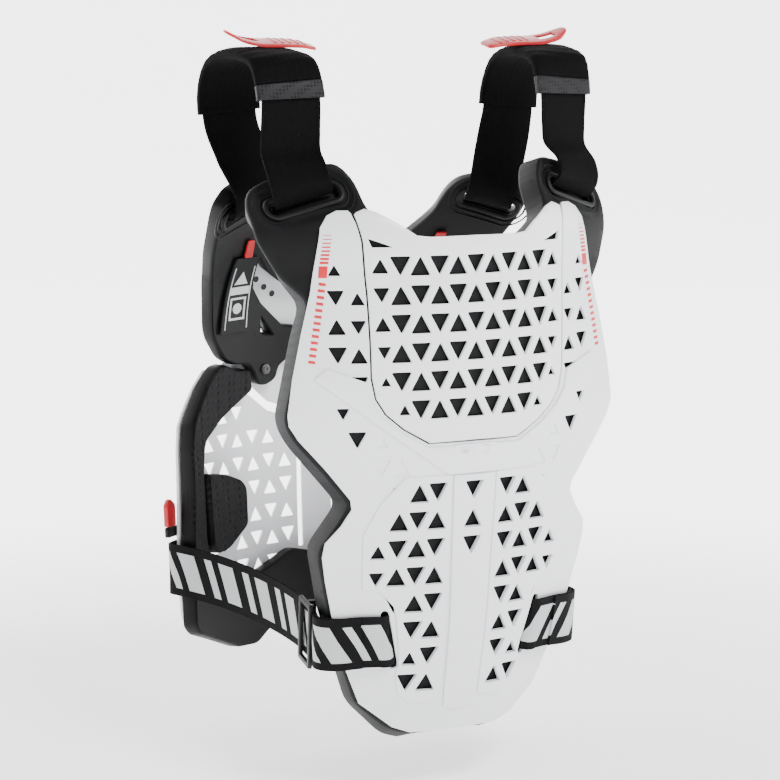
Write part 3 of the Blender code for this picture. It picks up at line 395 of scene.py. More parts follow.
def rim_of(sheet: bmesh.types.BMesh) -> dict[bmesh.types.BMVert, tuple[Vector, Vector]]:
    """Each rim point's place and the way out of the sheet from it.

    Args:
        sheet: The flat sheet.

    Returns:
        The place and the way out, by rim point.
    """
    biggest = max(sheet.faces, key=lambda face: face.calc_area())
    turn = 1.0 if biggest.normal.y < 0 else -1.0
    ways: dict = {}
    for edge in sheet.edges:
        if not edge.is_boundary:
            continue
        loop = edge.link_loops[0]
        run = loop.link_loop_next.vert.co - loop.vert.co
        if run.length < 1e-7:
            continue
        way = Vector((run.z, 0.0, -run.x)).normalized() * turn
        for vert in edge.verts:
            ways.setdefault(vert, []).append(way)
    rim = {}
    for vert, found in ways.items():
        first, last = found[0], found[-1]
        spread = max(1 + first.dot(last), 0.45)
        rim[vert] = (vert.co.copy(), (first + last) / spread if len(found) > 1 else first)
    return rim


def slab(
    loops: list[Loop],
    wall: float,
    edge: float,
    cell: float,
    windows: Sequence[tuple[float, tuple[float, ...]]] = (),
    flare: Callable[[Vector], Vector] | None = None,
    back_edge: float | None = None,
    steps: int = 3,
) -> bmesh.types.BMesh:
    """Make a flat closed slab with rounded rims.

    Args:
        loops: The rim and the holes.
        wall: Thickness.
        edge: Radius of the rounded rim on the outer side.
        cell: Side of the cells it is cut into.
        windows: Finer cells and where they are cut.
        flare: How far a rim point moves towards the back, by its place.
        back_edge: Radius on the wearer's side, or a third of the outer one.
        steps: Edges across each rounding.

    Returns:
        The slab, with its depth along y.
    """
    back = edge / 3 if back_edge is None else back_edge
    sheet = filled([grown(loops[0], -edge)] + [grown(loop, edge) for loop in loops[1:]])
    cut_cells(sheet, cell)
    for fine, window in windows:
        cut_cells(sheet, fine, window)
    bmesh.ops.recalc_face_normals(sheet, faces=sheet.faces[:])
    if max(sheet.faces, key=lambda face: face.calc_area()).normal.y > 0:
        bmesh.ops.reverse_faces(sheet, faces=sheet.faces[:])
    rim = rim_of(sheet)
    band = [item for item in sheet.edges if item.is_boundary]
    copy = bmesh.ops.duplicate(sheet, geom=sheet.faces[:])
    behind = [item for item in copy["geom"] if isinstance(item, bmesh.types.BMFace)]
    behind_verts = {vert for face in behind for vert in face.verts}
    bmesh.ops.reverse_faces(sheet, faces=behind)
    shift = {
        vert: flare(vert.co) if flare else Vector() for vert in behind_verts if vert.is_boundary
    }
    for vert in behind_verts:
        vert.co = vert.co + Vector((0.0, wall, 0.0)) + shift.get(vert, Vector())
    turns = [math.pi / 2 * n / steps for n in range(1, steps + 1)]
    profile = [(edge * math.sin(turn), edge * (1 - math.cos(turn))) for turn in turns]
    rest = [
        (edge - back * (1 - math.cos(turn)), wall - back * (1 - math.sin(turn)))
        for turn in [math.pi / 2 * n / steps for n in range(steps + 1)]
    ]
    profile += rest + [(0.0, wall)]
    for out, deep in profile:
        grew = bmesh.ops.extrude_edge_only(sheet, edges=band)
        fresh = [item for item in grew["geom"] if isinstance(item, bmesh.types.BMVert)]
        ring = {}
        for vert in fresh:
            for item in vert.link_edges:
                other = item.other_vert(vert)
                if other in rim:
                    ring[vert] = rim[other]
                    break
        for vert, (base, way) in ring.items():
            lean = flare(base) * (deep / wall) if flare else Vector()
            vert.co = base + way * out + lean + Vector((0.0, deep, 0.0))
        band = list({
            item for vert in ring for item in vert.link_edges
            if item.is_boundary and item.other_vert(vert) in ring
        })
        rim = ring
    bmesh.ops.remove_doubles(sheet, verts=[*rim, *behind_verts], dist=0.000004)
    return sheet


def shift_depth(sheet: bmesh.types.BMesh, by: float) -> None:
    """Move a flat slab deeper under its face."""
    bmesh.ops.translate(sheet, verts=sheet.verts[:], vec=Vector((0.0, by, 0.0)))


def drape(sheet: bmesh.types.BMesh, face: Face) -> None:
    """Lay a flat slab on a face.

    Args:
        sheet: The slab, with its depth along y.
        face: The face that it follows.
    """
    flat = np.array([vert.co[:] for vert in sheet.verts])
    for vert, spot in zip(sheet.verts, face.points(flat[:, 0], flat[:, 2], flat[:, 1])):
        vert.co = spot
    if face.side > 0:
        bmesh.ops.reverse_faces(sheet, faces=sheet.faces[:])


def crease(sheet: bmesh.types.BMesh, angle: float = 38.0) -> None:
    """Shade a mesh smooth, with sharp edges where it turns by more than an angle.

    Args:
        sheet: The mesh.
        angle: The angle in degrees.
    """
    limit = math.radians(angle)
    for face in sheet.faces:
        face.smooth = True
    for edge in sheet.edges:
        edge.smooth = not (edge.is_manifold and edge.calc_face_angle(0.0) > limit)


def join_into(sheet: bmesh.types.BMesh, other: bmesh.types.BMesh, material: int = 0) -> None:
    """Add another mesh to a sheet, with its faces on a material slot.

    Args:
        sheet: The mesh that grows.
        other: The mesh that joins it.
        material: The slot of the joined faces.
    """
    for face in other.faces:
        face.material_index = material
    mesh = bpy.data.meshes.new("joined")
    other.to_mesh(mesh)
    other.free()
    sheet.from_mesh(mesh)
    bpy.data.meshes.remove(mesh)


def tube_ring(loop: Loop, face: Face, depth: float, radius: float, sides: int = 10) -> bmesh.types.BMesh:
    """A closed round cord along an outline on a face.

    Args:
        loop: The outline.
        face: The face that it lies on.
        depth: How far under the face.
        radius: The cord's radius.
        sides: Edges around the cord.

    Returns:
        The cord's mesh.
    """
    ring = bmesh.new()
    bmesh.ops.create_grid(ring, x_segments=len(loop), y_segments=sides, size=0.5)
    for vert in ring.verts:
        i = round((vert.co.x + 0.5) * len(loop)) % len(loop)
        turn = 2 * math.pi * (vert.co.y + 0.5)
        before, after = loop[i - 1], loop[(i + 1) % len(loop)]
        run = (Vector(after) - Vector(before)).normalized()
        out = radius * math.cos(turn)
        spot = (loop[i][0] + run.y * out, loop[i][1] - run.x * out)
        vert.co = face.point(*spot, depth + radius * math.sin(turn))
    bmesh.ops.remove_doubles(ring, verts=ring.verts, dist=0.00001)
    bmesh.ops.recalc_face_normals(ring, faces=ring.faces[:])
    return ring


# Finishes

PAPER_REACH = (0.60, 1.30)  # where the floor's glow starts and where it is full
PAPER_GLOW = (0.35, 1.0)

Value = bpy.types.NodeSocket | float | None
Colour = bpy.types.NodeSocket | tuple[float, ...]


def math_node(tree: bpy.types.NodeTree, kind: str, first: Value, second: Value = 0.5,
              third: Value = None) -> bpy.types.NodeSocket:
    """Add a Math node, with values or sockets on its inputs.

    Args:
        tree: The node tree.
        kind: The operation.
        first: Value or socket.
        second: Value or socket.
        third: Value or socket, or nothing.

    Returns:
        The result's socket.
    """
    node = tree.nodes.new("ShaderNodeMath")
    node.operation = kind
    for slot_in, item in zip(node.inputs, (first, second, third)):
        if isinstance(item, bpy.types.NodeSocket):
            tree.links.new(item, slot_in)
        elif item is not None:
            slot_in.default_value = item
    return node.outputs[0]


def mix_colour(tree: bpy.types.NodeTree, share: Value, first: Colour,
               second: Colour) -> bpy.types.NodeSocket:
    """Mix two colours by a value, each given as a value or a socket.

    Args:
        tree: The node tree.
        share: How much of the second colour.
        first: The first colour.
        second: The second colour.

    Returns:
        The mixed colour's socket.
    """
    node = tree.nodes.new("ShaderNodeMix")
    node.data_type = "RGBA"
    for slot_in, item in ((node.inputs[0], share), (node.inputs[6], first), (node.inputs[7], second)):
        if isinstance(item, bpy.types.NodeSocket):
            tree.links.new(item, slot_in)
        else:
            slot_in.default_value = item
    return node.outputs[2]


def new_group(
    name: str, inputs: Sequence[tuple[str, str, object]], outputs: Sequence[tuple[str, str]]
) -> tuple[bpy.types.NodeTree, bpy.types.Node, bpy.types.Node]:
    """Start a node group with named sockets.

    Args:
        name: The group's name.
        inputs: Name, socket type and default of each input.
        outputs: Name and socket type of each output.

    Returns:
        The group, its input node and its output node.
    """
    tree = bpy.data.node_groups.new(name, "ShaderNodeTree")
    for label, kind, default in inputs:
        socket = tree.interface.new_socket(name=label, in_out="INPUT", socket_type=kind)
        if default is not None:
            socket.default_value = default
    for label, kind in outputs:
        tree.interface.new_socket(name=label, in_out="OUTPUT", socket_type=kind)
    return tree, tree.nodes.new("NodeGroupInput"), tree.nodes.new("NodeGroupOutput")


def grain_group() -> bpy.types.NodeTree:
    """Moulded grain: a fine height, a soft cloud and scattered scuffs."""
    tree, entry, leave = new_group(
        "moulded_grain",
        (("Vector", "NodeSocketVector", None), ("Fine", "NodeSocketFloat", 1800.0),
         ("Cloud", "NodeSocketFloat", 35.0), ("Scuff", "NodeSocketFloat", 90.0)),
        (("Height", "NodeSocketFloat"), ("Cloud", "NodeSocketFloat"), ("Scuff", "NodeSocketFloat")),
    )
    found = []
    for scale, detail in (("Fine", 2.0), ("Cloud", 3.0), ("Scuff", 6.0)):
        noise = tree.nodes.new("ShaderNodeTexNoise")
        noise.inputs["Detail"].default_value = detail
        tree.links.new(entry.outputs["Vector"], noise.inputs["Vector"])
        tree.links.new(entry.outputs[scale], noise.inputs["Scale"])
        found.append(noise.outputs["Fac"])
    scuff = math_node(tree, "MULTIPLY", math_node(tree, "SUBTRACT", found[2], 0.66), 9.0)
    node = tree.nodes.new("ShaderNodeClamp")
    tree.links.new(scuff, node.inputs[0])
    tree.links.new(found[0], leave.inputs["Height"])
    tree.links.new(found[1], leave.inputs["Cloud"])
    tree.links.new(node.outputs[0], leave.inputs["Scuff"])
    return tree


def weave_group() -> bpy.types.NodeTree:
    """Woven webbing along its own UV map, in metres: ribs along, picks across. Its Shade output darkens
    the colour in the valleys between threads: painted shade.
    """
    tree, entry, leave = new_group(
        "strap_weave",
        (("Vector", "NodeSocketVector", None), ("Rib", "NodeSocketFloat", 0.0011),
         ("Pick", "NodeSocketFloat", 0.0009)),
        (("Height", "NodeSocketFloat"), ("Shade", "NodeSocketFloat")),
    )
    parts = tree.nodes.new("ShaderNodeSeparateXYZ")
    tree.links.new(entry.outputs["Vector"], parts.inputs[0])
    ways = []
    for axis, pitch in ((0, "Pick"), (1, "Rib")):
        ways.append(math_node(tree, "DIVIDE", parts.outputs[axis], entry.outputs[pitch]))
    offset = math_node(tree, "MULTIPLY", math_node(tree, "FLOOR", ways[1]), 0.5)
    along = math_node(tree, "SINE", math_node(
        tree, "MULTIPLY", math_node(tree, "ADD", ways[0], offset), 2 * math.pi))
    across = math_node(tree, "SINE", math_node(
        tree, "MULTIPLY", math_node(tree, "FRACT", ways[1]), math.pi))
    height = math_node(tree, "MULTIPLY", across, math_node(tree, "MULTIPLY_ADD", along, 0.35, 0.65))
    tree.links.new(height, leave.inputs["Height"])
    tree.links.new(math_node(tree, "MULTIPLY_ADD", height, 0.6, 0.4), leave.inputs["Shade"])
    return tree


def studs_group() -> bpy.types.NodeTree:
    """Moulded foam skin: rows of small round dimples. Its mask leaves the dimples in the darker colour
    and the skin around them lighter: painted shade.
    """
    tree, entry, leave = new_group(
        "foam_dimples",
        (("Vector", "NodeSocketVector", None), ("Pitch", "NodeSocketFloat", 0.0020)),
        (("Height", "NodeSocketFloat"), ("Mask", "NodeSocketFloat")),
    )
    node = tree.nodes.new("ShaderNodeTexVoronoi")
    node.inputs["Randomness"].default_value = 0.0
    tree.links.new(entry.outputs["Vector"], node.inputs["Vector"])
    tree.links.new(math_node(tree, "DIVIDE", 1.0, entry.outputs["Pitch"]), node.inputs["Scale"])
    reach = tree.nodes.new("ShaderNodeMapRange")
    reach.inputs["From Min"].default_value = 0.18
    reach.inputs["From Max"].default_value = 0.42
    tree.links.new(node.outputs["Distance"], reach.inputs["Value"])
    tree.links.new(reach.outputs[0], leave.inputs["Height"])
    tree.links.new(reach.outputs[0], leave.inputs["Mask"])
    return tree


class Groups:
    """The shader node groups that the finishes share, each built once."""

    def __init__(self) -> None:
        """Build the groups."""
        self.grain = grain_group()
        self.weave = weave_group()
        self.studs = studs_group()


class Skin(Enum):
    """What a finish shows close up."""

    GRAIN = "grain"
    STUDS = "studs"
    WEAVE = "weave"
    BARS = "bars"


@dataclass(frozen=True)
class Finish:
    """One finish: colours, gloss and close-up structure. Its second colour is a random mottle on grained
    finishes; on woven and dimpled finishes it paints shade into the valleys and dimples.
    """

    name: str
    slot: str
    colour: tuple[float, float, float]
    # Random mottle on grained finishes; painted shade in woven valleys; the lighter skin around dimples,
    # which leaves the dimples painted darker as shade
    mottle_and_shade: tuple[float, float, float]
    roughness: float
    skin: Skin = Skin.GRAIN
    fine: float = 1800.0
    bump: float = 0.05
    depth: float = 0.0002
    coat: float = 0.0
    sheen: float = 0.0
    specular: float = 0.5
    pitch: float = 0.0020
    print_colour: tuple[float, float, float] = (0.50, 0.51, 0.52)

    def material(self, groups: Groups) -> bpy.types.Material:
        """Build the finish's material, or give the one already built.

        Args:
            groups: The shared node groups.

        Returns:
            The material.
        """
        known = bpy.data.materials.get(self.name)
        if known:
            return known
        material = bpy.data.materials.new(self.name)
        material.use_nodes = True
        tree = material.node_tree
        shader = tree.nodes["Principled BSDF"]
        shader.inputs["Coat Weight"].default_value = self.coat
        shader.inputs["Coat Roughness"].default_value = 0.12
        shader.inputs["Sheen Weight"].default_value = self.sheen
        shader.inputs["Sheen Roughness"].default_value = 0.4
        shader.inputs["Specular IOR Level"].default_value = self.specular
        where = tree.nodes.new("ShaderNodeTexCoord")
        grain = tree.nodes.new("ShaderNodeGroup")
        grain.node_tree = groups.grain
        grain.inputs["Fine"].default_value = self.fine
        tree.links.new(where.outputs["Object"], grain.inputs["Vector"])
        full, mottle_and_shade = (*self.colour, 1.0), (*self.mottle_and_shade, 1.0)
        colour = mix_colour(tree, grain.outputs["Cloud"], full, mottle_and_shade)
        height = grain.outputs["Height"]
        if self.skin is Skin.STUDS:
            studs = tree.nodes.new("ShaderNodeGroup")
            studs.node_tree = groups.studs
            studs.inputs["Pitch"].default_value = self.pitch
            tree.links.new(where.outputs["Object"], studs.inputs["Vector"])
            # Painted shade: the dimples keep the darker colour, the skin between them takes the lighter
            # second colour
            colour = mix_colour(tree, studs.outputs["Mask"], full, mottle_and_shade)
            height = studs.outputs["Height"]
        elif self.skin in (Skin.WEAVE, Skin.BARS):
            weave = tree.nodes.new("ShaderNodeGroup")
            weave.node_tree = groups.weave
            weave.inputs["Rib"].default_value = self.pitch
            weave.inputs["Pick"].default_value = self.pitch * 0.8
            tree.links.new(where.outputs["UV"], weave.inputs["Vector"])
            # Painted shade: the weave's valleys take the darker second colour, its ridges the main one
            colour = mix_colour(tree, weave.outputs["Shade"], mottle_and_shade, full)
            height = weave.outputs["Height"]
            if self.skin is Skin.BARS:
                bars = self.bars(tree, where.outputs["UV"])
                colour = mix_colour(tree, bars, colour, (*self.print_colour, 1.0))
        rough = math_node(tree, "MULTIPLY_ADD", grain.outputs["Scuff"], 0.14, self.roughness)
        rough = math_node(tree, "MULTIPLY_ADD", grain.outputs["Cloud"], 0.06, rough)
        relief = tree.nodes.new("ShaderNodeBump")
        relief.inputs["Strength"].default_value = self.bump
        relief.inputs["Distance"].default_value = self.depth
        tree.links.new(height, relief.inputs["Height"])
        tree.links.new(colour, shader.inputs["Base Color"])
        tree.links.new(rough, shader.inputs["Roughness"])
        tree.links.new(relief.outputs[0], shader.inputs["Normal"])
        material.diffuse_color = full
        return material

    @staticmethod
    def bars(tree: bpy.types.NodeTree, uv: bpy.types.NodeSocket) -> bpy.types.NodeSocket:
        """A printed row of slanted bars, wide and narrow, between bare selvedges.

        Args:
            tree: The node tree.
            uv: The strap's own coordinates.

        Returns:
            The print's mask.
        """
        parts = tree.nodes.new("ShaderNodeSeparateXYZ")
        tree.links.new(uv, parts.inputs[0])
        lean = math_node(tree, "MULTIPLY_ADD", parts.outputs[1], -0.50, parts.outputs[0])
        step = math_node(tree, "FRACT", math_node(tree, "DIVIDE", lean, 0.0360))
        wide = math_node(tree, "COMPARE", step, 0.30, 0.19)
        narrow = math_node(tree, "COMPARE", step, 0.76, 0.09)
        inner = math_node(tree, "COMPARE", parts.outputs[1], 0.0, 0.0145)
        return math_node(tree, "MULTIPLY", math_node(tree, "ADD", wide, narrow), inner)


WHITE = Finish("shell_white", "white_plastic", (0.83, 0.84, 0.865), (0.80, 0.812, 0.84), 0.27,
               fine=900.0, bump=0.03, coat=0.25)
PLATE = Finish("plate_white", "white_plastic", (0.85, 0.858, 0.875), (0.82, 0.83, 0.85), 0.30,
               fine=1100.0, bump=0.03, coat=0.2)
FOAM = Finish("foam_skin", "black_foam", (0.0030, 0.0031, 0.0035), (0.0055, 0.0056, 0.0062), 0.50,
              specular=0.16, fine=1500.0, bump=0.12, depth=0.0003)
# Dotted and pebbled foam: the lighter second colour lies between the dimples, so the dimples are painted
# darker as shade
FOAM_SIDE = Finish("foam_dotted", "black_foam", (0.005, 0.0051, 0.0056), (0.021, 0.0215, 0.023),
                   0.55, Skin.STUDS, specular=0.14, bump=0.75, depth=0.0003, pitch=0.0017)
FOAM_PAD = Finish("foam_pebbled", "black_foam", (0.0022, 0.0022, 0.0026), (0.0065, 0.0065, 0.0075),
                  0.50, Skin.STUDS, specular=0.16, bump=0.8, depth=0.0006, pitch=0.0060)
RUBBER = Finish("yoke_rubber", "black_rubber", (0.0030, 0.0031, 0.0035), (0.0055, 0.0056, 0.0062),
                0.44, specular=0.20, fine=1300.0, bump=0.10, depth=0.0003)
# Woven finishes: the darker second colour is painted shade in the weave's valleys
WEBBING = Finish("strap_webbing", "black_webbing", (0.0026, 0.0026, 0.0030), (0.0008, 0.0008, 0.0009),
                 0.85, Skin.WEAVE, bump=0.6, depth=0.0003, specular=0.08, pitch=0.0012)
SLEEVE = Finish("sleeve_cloth", "black_webbing", (0.0024, 0.0024, 0.0027), (0.0009, 0.0009, 0.0010),
                0.88, Skin.WEAVE, bump=0.45, depth=0.0002, specular=0.08, pitch=0.0008)
PRINTED = Finish("waist_webbing", "black_webbing", (0.0048, 0.0049, 0.0054),
                 (0.0016, 0.0016, 0.0018), 0.76, Skin.BARS, bump=0.6, depth=0.0003,
                 specular=0.12, pitch=0.0011)
# Dimpled cuff: the lighter second colour lies between the dimples, so the dimples are painted darker as
# shade
CUFF = Finish("cuff_rubber", "black_rubber", (0.0030, 0.0030, 0.0034), (0.013, 0.013, 0.0145), 0.5,
              Skin.STUDS, specular=0.15, bump=0.9, depth=0.0004, pitch=0.0026)
PLASTIC = Finish("buckle_plastic", "black_plastic", (0.0040, 0.0040, 0.0045),
                 (0.0070, 0.0070, 0.0078), 0.36, specular=0.25, fine=1400.0, bump=0.08)
RED = Finish("tab_rubber", "red_rubber", (0.52, 0.004, 0.010), (0.44, 0.003, 0.008), 0.36,
             fine=1000.0, bump=0.06, coat=0.1)
INK_RED = Finish("red_print", "red_rubber", (0.60, 0.006, 0.014), (0.54, 0.005, 0.012), 0.4)
INK_PALE = Finish("pale_print", "white_plastic", (0.62, 0.63, 0.64), (0.56, 0.57, 0.58), 0.5)
STEEL = Finish("screw_steel", "dark_steel", (0.045, 0.045, 0.048), (0.07, 0.07, 0.074), 0.32)


class Workshop:
    """Puts finished meshes in the scene and tells the frame about them."""

    def __init__(self) -> None:
        """Start with the shared node groups and no pieces."""
        self.groups = Groups()
        self.pieces: dict[str, Piece] = {}

    def add(
        self,
        name: str,
        sheet: bmesh.types.BMesh,
        finishes: Sequence[Finish],
        nodes: Sequence[str] = (),
        angle: float = 38.0,
    ) -> Piece:
        """Turn a mesh into a piece.

        Args:
            name: The piece's name.
            sheet: The mesh, in the part's frame, which is freed.
            finishes: A finish for each material slot.
            nodes: The solids that it replaces.
            angle: Above this angle between faces an edge stays sharp.

        Returns:
            The piece.
        """
        crease(sheet, angle)
        mesh = bpy.data.meshes.new(name)
        sheet.to_mesh(mesh)
        sheet.free()
        piece = bpy.data.objects.new(name, mesh)
        bpy.context.scene.collection.objects.link(piece)
        for finish in finishes:
            mesh.materials.append(finish.material(self.groups))
        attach(piece, BODY)
        if nodes:
            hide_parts(*nodes)
        self.pieces[name] = piece
        LOG.info("%s: %d faces", name, len(mesh.polygons))
        return piece


# Shoulder straps

@dataclass
class Route:
    """A smooth curve of evenly spaced points."""

    points: list[Vector]

    @classmethod
    def through(cls, knots: Sequence[Vector], steps: int) -> "Route":
        """Space points evenly along a smooth curve through knots.

        Args:
            knots: The curve's knots.
            steps: How many steps it is cut into.

        Returns:
            The route.
        """
        spots = np.array(knots)
        run = np.linalg.norm(np.diff(spots, axis=0), axis=1)
        shares = np.concatenate(([0.0], np.cumsum(run)))
        shares = shares / shares[-1]
        return cls([
            Vector([cubic(shares, spots[:, axis], at) for axis in range(3)])
            for at in np.linspace(0.0, 1.0, steps + 1)
        ])

    def read(self, share: float) -> tuple[Vector, Vector]:
        """The point and the direction at a share of the route."""
        at = min(max(share, 0.0), 1.0) * (len(self.points) - 1)
        i = min(int(at), len(self.points) - 2)
        first, second = self.points[i], self.points[i + 1]
        return first.lerp(second, at - i), (second - first).normalized()

    @property
    def length(self) -> float:
        """The route's length."""
        return sum((b - a).length for a, b in zip(self.points, self.points[1:]))


def strip(
    place: Callable[[float, float], Vector],
    start: float,
    end: float,
    length: float,
    width: float,
    wall: float,
    normal: Callable[[float], Vector],
    along: int,
    across: int = 8,
) -> bmesh.types.BMesh:
    """A flat band of webbing with rounded selvedges and its own UV map.

    Args:
        place: Gives a point by the share of the length and of the half width.
        start: Share where it starts.
        end: Share where it ends.
        length: Length from share 0 to share 1, for the UV map.
        width: Full width, for the UV map.
        wall: Thickness.
        normal: Gives the way out of the band's face by the share of the length.
        along: Faces along.
        across: Faces across.

    Returns:
        The closed band.
    """
    band = bmesh.new()
    rows = 2 * across + 4
    bmesh.ops.create_grid(band, x_segments=along, y_segments=rows, size=0.5)
    section = []
    for n in range(across + 1):
        section.append((-1 + 2 * n / across, 0.5))
    section += [(1.0 + wall * 0.5 / width, 0.0)]
    for n in range(across + 1):
        section.append((1 - 2 * n / across, -0.5))
    section += [(-1.0 - wall * 0.5 / width, 0.0)]
    section.append(section[0])
    uv = band.loops.layers.uv.new("UVMap")
    flat = {}
    for vert in band.verts:
        share = start + (end - start) * (vert.co.x + 0.5)
        i = round((vert.co.y + 0.5) * rows)
        wide, high = section[min(i, len(section) - 1)]
        flat[vert] = (share * length, wide * width / 2)
        vert.co = place(share, wide) + normal(share) * wall * high
    for face in band.faces:
        for loop in face.loops:
            loop[uv].uv = flat[loop.vert]
    bmesh.ops.remove_doubles(band, verts=band.verts, dist=0.000005)
    bmesh.ops.holes_fill(band, edges=[edge for edge in band.edges if edge.is_boundary], sides=0)
    bmesh.ops.recalc_face_normals(band, faces=band.faces[:])
    return band


def flip_side(sheet: bmesh.types.BMesh, side: Side) -> None:
    """Turn a mesh of the wearer's left into one of a side."""
    if side is Side.RIGHT:
        bmesh.ops.scale(sheet, vec=Vector((-1.0, 1.0, 1.0)), verts=sheet.verts[:])
        bmesh.ops.reverse_faces(sheet, faces=sheet.faces[:])


@dataclass
class Shoulders:
    """Webbing, padded sleeves, cuffs, slot lips and pull tabs over the shoulders."""

    shop: Workshop
    width: float = 0.045
    wall: float = 0.0022
    rise: float = 0.0035
    taper: float = 0.83
    spread: float = 0.117
    skew: float = 0.35
    front_slot: Spot = (0.1130, 0.3995 - 0.4965)
    back_slot: Spot = (0.1165, 0.3600 - 0.470)
    slot_length: float = 0.0485
    back_slot_length: float = 0.0375
    slot_height: float = 0.0078
    slant: float = math.radians(18)
    lip: float = 0.0018
    trough: float = 0.0020
    sleeve: tuple[float, float] = (0.298, 0.700)
    sleeve_wall: float = 0.0016
    play: float = 0.0009
    cuff: float = 0.0115
    pull: tuple[float, float, float] = (0.024, 0.0022, 0.0010)
    route: Route = field(init=False)
    known: dict = field(default_factory=dict)

    ARCH = (
        (0.976, 0.122, 0.360), (0.972, 0.127, 0.480), (0.970, 0.130, 0.724), (0.979, 0.205, 0.924),
        (1.000, 0.414, 0.996), (1.017, 0.614, 0.996), (1.030, 0.798, 0.920), (1.030, 0.896, 0.762),
        (1.015, 0.907, 0.562), (0.950, 0.872, 0.340),
    )
    APPROACH = (
        (0.0160, 0.0114), (0.0090, 0.0111), (0.0038, 0.0078), (0.0018, 0.0024), (0.0012, -0.0026),
    )
    PULL_EDGE = (
        (0.0, -0.34), (0.20, -0.50), (0.62, -0.50), (0.86, -0.44), (1.0, -0.16),
        (1.0, 0.16), (0.86, 0.44), (0.62, 0.50), (0.20, 0.50), (0.0, 0.34),
    )
    PULL_WINDOW = ((0.60, -0.24), (0.84, -0.18), (0.84, 0.18), (0.60, 0.24))
    PULL_ROUTE = (
        (0.00, 0.620, -0.030), (0.16, 0.730, -0.004), (0.35, 0.860, 0.004), (0.60, 1.010, 0.008),
        (0.82, 1.130, 0.030), (1.00, 1.225, 0.070),
    )

    def __post_init__(self) -> None:
        """Lay the route of the strap from the chest slot to the back slot."""
        foam = SHELL_WALL + SKIN_GAP
        front = [FRONT.point(self.front_slot[0], self.front_slot[1] + up, foam - off)
                 for up, off in self.APPROACH]
        back = [BACK.point(self.back_slot[0], self.back_slot[1] + up, foam + YOKE_FOAM + off)
                for up, off in self.APPROACH]
        points = []
        for spread, along, rise in self.ARCH:
            foot = front[-1].z + (back[-1].z - front[-1].z) * along
            y = front[-1].y + (back[-1].y - front[-1].y) * along
            points.append(Vector((self.spread * spread, y, foot + (self.rise - foot) * rise)))
        self.route = Route.through(front[::-1] + points + back, 240)

    def slot_line(self, face: Face, at: Spot) -> Vector:
        """The direction along a slot, from its inner to its outer end."""
        reach = self.slot_length / 4
        cos, sin = math.cos(self.slant) * reach, math.sin(self.slant) * reach
        return (face.point(at[0] + cos, at[1] - sin) - face.point(at[0] - cos, at[1] + sin)).normalized()

    def frame(self, share: float) -> tuple[Vector, Vector, Vector, Vector]:
        """Place, direction, width and face of the strap at a share.

        Args:
            share: The share of the strap's length.

        Returns:
            The place and the three directions.
        """
        if share in self.known:
            return self.known[share]
        here, ahead = self.route.read(share)
        if share < 0.5:
            line = self.slot_line(FRONT, self.front_slot)
        else:
            line = self.slot_line(BACK, self.back_slot)
        rest = Vector((1.0, self.skew * max(1 - 2 * share, 0.0), 0.0))
        across = rest.lerp(line, abs(1 - 2 * share) ** 4).normalized()
        across = (across - ahead * across.dot(ahead)).normalized()
        self.known[share] = here, ahead, across, across.cross(ahead)
        return self.known[share]

    def place(self, share: float, side: float) -> Vector:
        """A point on the strap by the share of its length and half width."""
        here, _, across, _ = self.frame(share)
        taper = 1 - (1 - self.taper) * max(0.0, (share - 0.8) / 0.2)
        return here + across * side * (self.width / 2 - self.wall * 0.5) * taper

    def out(self, share: float) -> Vector:
        """The way out of the strap's face."""
        return self.frame(share)[3]

    def tube(self, start: float, end: float, wall: float, along: int, puff: float) -> bmesh.types.BMesh:
        """A sleeve around the strap, with rounded sides and soft creases.

        Args:
            start: Share where it starts.
            end: Share where it ends.
            wall: Thickness.
            along: Faces along.
            puff: How far its middle stands up over its edges.

        Returns:
            The closed tube.
        """
        around = 40
        tube = bmesh.new()
        bmesh.ops.create_grid(tube, x_segments=along, y_segments=around, size=0.5)
        uv = tube.loops.layers.uv.new("UVMap")
        flat = {}
        length = self.route.length
        for vert in tube.verts:
            t = vert.co.x + 0.5
            share = start + (end - start) * t
            turn = 2 * math.pi * (vert.co.y + 0.5)
            here, _, across, up = self.frame(share)
            cos, sin = math.cos(turn), math.sin(turn)
            wide = self.width / 2 + self.play + wall
            high = self.wall / 2 + self.play + wall * 0.9
            x = math.copysign(abs(cos) ** 0.30, cos)
            y = math.copysign(abs(sin) ** 0.30, sin)
            if puff:
                rim = min(t, 1 - t) * 12
                swell = puff * (1 - abs(x) ** 3) * min(rim, 1.0) * max(sin, 0.0)
                fold = 0.00022 * math.sin(share * 210 + 1.3 * math.sin(x * 3)) * min(rim, 1.0)
                high += swell + fold * (1 if sin > 0 else 0)
            vert.co = here + across * x * wide + up * y * high
            flat[vert] = (share * length, turn / (2 * math.pi) * self.width * 2.2)
        for face in tube.faces:
            for loop in face.loops:
                loop[uv].uv = flat[loop.vert]
        bmesh.ops.remove_doubles(tube, verts=tube.verts, dist=0.000005)
        bmesh.ops.recalc_face_normals(tube, faces=tube.faces[:])
        return tube

    def stitches(self, start: float, end: float, edge: float, lift: float) -> bmesh.types.BMesh:
        """Short raised threads in two rows along the strap's edges.

        Args:
            start: The share where the rows start.
            end: The share where they end.
            edge: The rows' share of the half width.
            lift: How far they stand off the strap's middle.

        Returns:
            The threads' mesh.
        """
        rows = bmesh.new()
        length = self.route.length
        count = int((end - start) * length / 0.0034)
        for n in range(count):
            share = start + (end - start) * (n + 0.5) / count
            here, ahead, across, up = self.frame(share)
            for wide in (-edge, edge):
                grid = bmesh.ops.create_cube(rows, size=1.0)
                turn = Matrix((ahead * 0.0022, across * 0.0005, up * 0.0005)).transposed()
                spot = here + across * wide * self.width / 2 + up * lift
                bmesh.ops.transform(rows, verts=grid["verts"],
                                    matrix=Matrix.Translation(spot) @ turn.to_4x4())
        return rows

